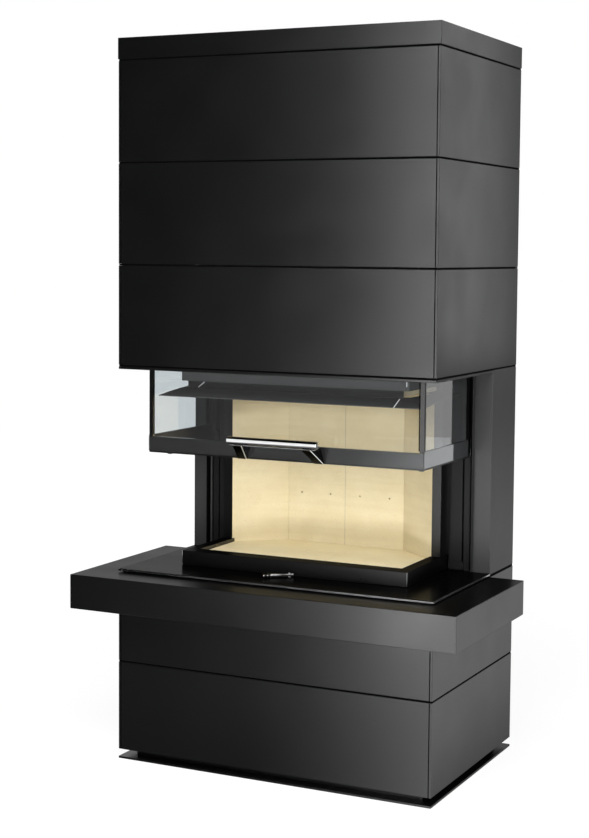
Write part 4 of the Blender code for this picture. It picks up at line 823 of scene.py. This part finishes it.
# The photograph's camera in pixels, metres and radians, solved from straight edges
PHOTO_WIDTH = 589
PHOTO_HEIGHT = 838
FOCAL_LENGTH = 1662.42
PICTURE_CENTRE = (320.32, 374.48)
CAMERA_AT = (2.1355, -4.4004, 1.5134)
CAMERA_PAN = 0.4475
CAMERA_TILT = 0.0744
CAMERA_ROLL = 0.0088

# Name, place, aim, width, height and power of each lamp
FRONT_STRIP = ("front_strip", (-0.040, -1.7755, 1.45), (-0.040, 0.0, 1.45), 0.20, 3.4, 23.0)
SIDE_STRIP = ("side_strip", (1.18, 1.60, 1.99), (0.5, 0.05, 1.99), 0.20, 1.82, 3.3)
MIRRORED_FILL = ("camera_side_fill", (2.6, -4.3, 0.85), (0.0, 0.0, 0.95), 3.2, 1.6, 30.0)
FILL_LAMPS = (
    ("high_fill", (2.3, -3.8, 3.0), (0.0, 0.0, 0.8), 2.4, 2.4, 10.0),
    ("steep_fill", (0.9, -2.5, 3.1), (0.0, 0.0, 0.6), 1.4, 1.4, 90.0),
    ("low_fill", (0.6, -4.9, 1.40), (0.0, 0.0, 0.95), 2.4, 1.0, 17.0),
    ("right_fill", (3.9, -3.2, 1.35), (0.0, 0.0, 0.95), 1.8, 1.0, 26.0),
    ("upward_fill", (0.5, -2.2, 0.30), (0.0, 0.2, 0.95), 1.6, 0.3, 25.0),
)


def floor_finish():
    """Matt floor that keeps the shadow: white where it is seen, a glow where it is blurred, and
    darkened round the fireplace where it is mirrored sharply or seen through glass, a painted shadow.
    """
    made, tree, shader = new_finish("studio_floor")
    shader.inputs["Base Color"].default_value = (0.15, 0.15, 0.15, 1.0)
    shader.inputs["Roughness"].default_value = 0.9
    shader.inputs["Specular IOR Level"].default_value = 0.0
    path, seen, blurred = ray_kinds(tree)
    apart = add(tree, "ShaderNodeSeparateXYZ", {"Vector": surface_place(tree)})
    across, along = apart.outputs["X"], apart.outputs["Y"]
    slanted = maths(tree, "SUBTRACT", across, maths(tree, "MULTIPLY", along, GLOW_SLANT))
    reached = ranged(tree, slanted, *FRONT_GLOW_REACH, 0.0, 1.0)
    front_glow = maths(tree, "POWER", reached, FRONT_GLOW_CURVE)
    in_front = maths(tree, "LESS_THAN", along, FRONT)
    beside = maths(tree, "SUBTRACT", 1.0, in_front)
    front_glow = maths(tree, "MULTIPLY", front_glow, in_front)
    front_part = maths(tree, "MULTIPLY", front_glow, FRONT_GLOW_POWER)
    side_glow = ranged(tree, across, *SIDE_GLOW_REACH, *SIDE_GLOW_POWER)
    side_part = maths(tree, "MULTIPLY", side_glow, beside)
    glow = maths(tree, "ADD", front_part, side_part)
    mirrored = maths(tree, "MULTIPLY", blurred, glow)
    measured = add(tree, "ShaderNodeVectorMath", {0: surface_place(tree)}, operation="LENGTH")
    reach = measured.outputs["Value"]
    # Mirrored sharply or through glass, the floor near the fireplace is dark: a painted shadow
    past_painted_shadow = maths(tree, "MAXIMUM", path["Is Camera Ray"], ranged(tree, reach, *MIRRORED_FLOOR_SHADOW))
    seen = maths(tree, "MULTIPLY", seen, past_painted_shadow)
    paleness = ranged(tree, reach, *FLOOR_PALENESS)
    strength = maths(tree, "MAXIMUM", maths(tree, "MULTIPLY", seen, paleness), mirrored)
    tree.links.new(strength, shader.inputs["Emission Strength"])
    shader.inputs["Emission Color"].default_value = (1.0, 1.0, 1.0, 1.0)
    return made


def floor():
    """Large round floor."""
    shape = bmesh.new()
    lowered = Matrix.Translation((0.0, 0.0, -FLOOR_DROP))
    bmesh.ops.create_circle(shape, cap_ends=True, segments=96, radius=FLOOR_RADIUS, matrix=lowered)
    mesh = bpy.data.meshes.new("studio_floor")
    shape.to_mesh(mesh)
    shape.free()
    mesh.materials.append(floor_finish())
    made = bpy.data.objects.new("studio_floor", mesh)
    bpy.context.scene.collection.objects.link(made)


def studio_world():
    """White room where it is seen; blurred mirrorings show only some of its walls."""
    world = bpy.data.worlds.new("studio")
    bpy.context.scene.world = world
    world.use_nodes = True
    tree = world.node_tree
    background = tree.nodes["Background"]
    background.inputs["Color"].default_value = (1.0, 1.0, 1.0, 1.0)
    path, seen, blurred = ray_kinds(tree)
    direction = add(tree, "ShaderNodeTexCoord").outputs["Generated"]
    apart = add(tree, "ShaderNodeSeparateXYZ", {"Vector": direction})
    across, along = apart.outputs["X"], apart.outputs["Y"]
    right = ranged(tree, across, *RIGHT_SIDE)
    far_wall = ranged(tree, along, *FAR_WALL)
    behind = maths(tree, "MULTIPLY", far_wall, ranged(tree, across, *FAR_WALL_LEFT))
    right_wall = ranged(tree, across, *RIGHT_WALL)
    beside_camera = maths(tree, "MULTIPLY", right_wall, maths(tree, "LESS_THAN", along, 0.0))
    room = maths(tree, "MAXIMUM", maths(tree, "MAXIMUM", right, behind), beside_camera)
    mirrored = maths(tree, "MULTIPLY", blurred, room)
    below_ceiling = maths(tree, "LESS_THAN", apart.outputs["Z"], CEILING)
    seen = maths(tree, "MULTIPLY", seen, below_ceiling)
    ambient = maths(tree, "MULTIPLY", path["Is Diffuse Ray"], AMBIENT)
    strength = maths(tree, "MAXIMUM", maths(tree, "MAXIMUM", seen, mirrored), ambient)
    tree.links.new(strength, background.inputs["Strength"])


def softbox(name, place, aim, width, height, power, lights_matt=True):
    """Area lamp that the camera doesn't see; one that lights nothing matt is there to be mirrored."""
    lamp = bpy.data.lights.new(name, "AREA")
    lamp.shape = "RECTANGLE"
    lamp.size = width
    lamp.size_y = height
    lamp.energy = power
    made = bpy.data.objects.new(name, lamp)
    made.location = place
    made.rotation_euler = (Vector(aim) - Vector(place)).to_track_quat("-Z", "Y").to_euler()
    made.visible_camera = False
    made.visible_transmission = not lights_matt
    made.visible_diffuse = lights_matt
    bpy.context.scene.collection.objects.link(made)
    return made


def keep_out_of_panes(lamp):
    """The lamp doesn't light the panes, where it would be mirrored as a pale rectangle."""
    panes = bpy.data.collections.new("panes_without_front_strip")
    lamp.light_linking.receiver_collection = panes
    for name in ("front_pane", "side_pane_left", "side_pane_right"):
        panes.objects.link(nodes[name])
    for linked in panes.collection_objects:
        linked.light_linking.link_state = "EXCLUDE"


def lamps():
    """Two strips that make the gradients on the paint, one fill that is mirrored, and matt fills."""
    keep_out_of_panes(softbox(*FRONT_STRIP, lights_matt=False))
    softbox(*SIDE_STRIP, lights_matt=False)
    softbox(*MIRRORED_FILL)
    for settings in FILL_LAMPS:
        softbox(*settings).visible_glossy = False


def camera():
    """The photograph's camera."""
    lens = bpy.data.cameras.new("camera")
    lens.sensor_width = 36.0
    lens.lens = FOCAL_LENGTH / PHOTO_HEIGHT * lens.sensor_width
    lens.shift_x = (PHOTO_WIDTH / 2 - PICTURE_CENTRE[0]) / PHOTO_HEIGHT
    lens.shift_y = (PICTURE_CENTRE[1] - PHOTO_HEIGHT / 2) / PHOTO_HEIGHT
    lens.clip_end = 100.0
    made = bpy.data.objects.new("camera", lens)
    turn = (
        Matrix.Rotation(CAMERA_PAN, 4, "Z")
        @ Matrix.Rotation(math.pi / 2 - CAMERA_TILT, 4, "X")
        @ Matrix.Rotation(CAMERA_ROLL, 4, "Z")
    )
    made.matrix_world = Matrix.Translation(CAMERA_AT) @ turn
    bpy.context.scene.collection.objects.link(made)
    bpy.context.scene.camera = made


floor()
studio_world()
lamps()
camera()
bpy.context.scene.view_settings.view_transform = "Standard"
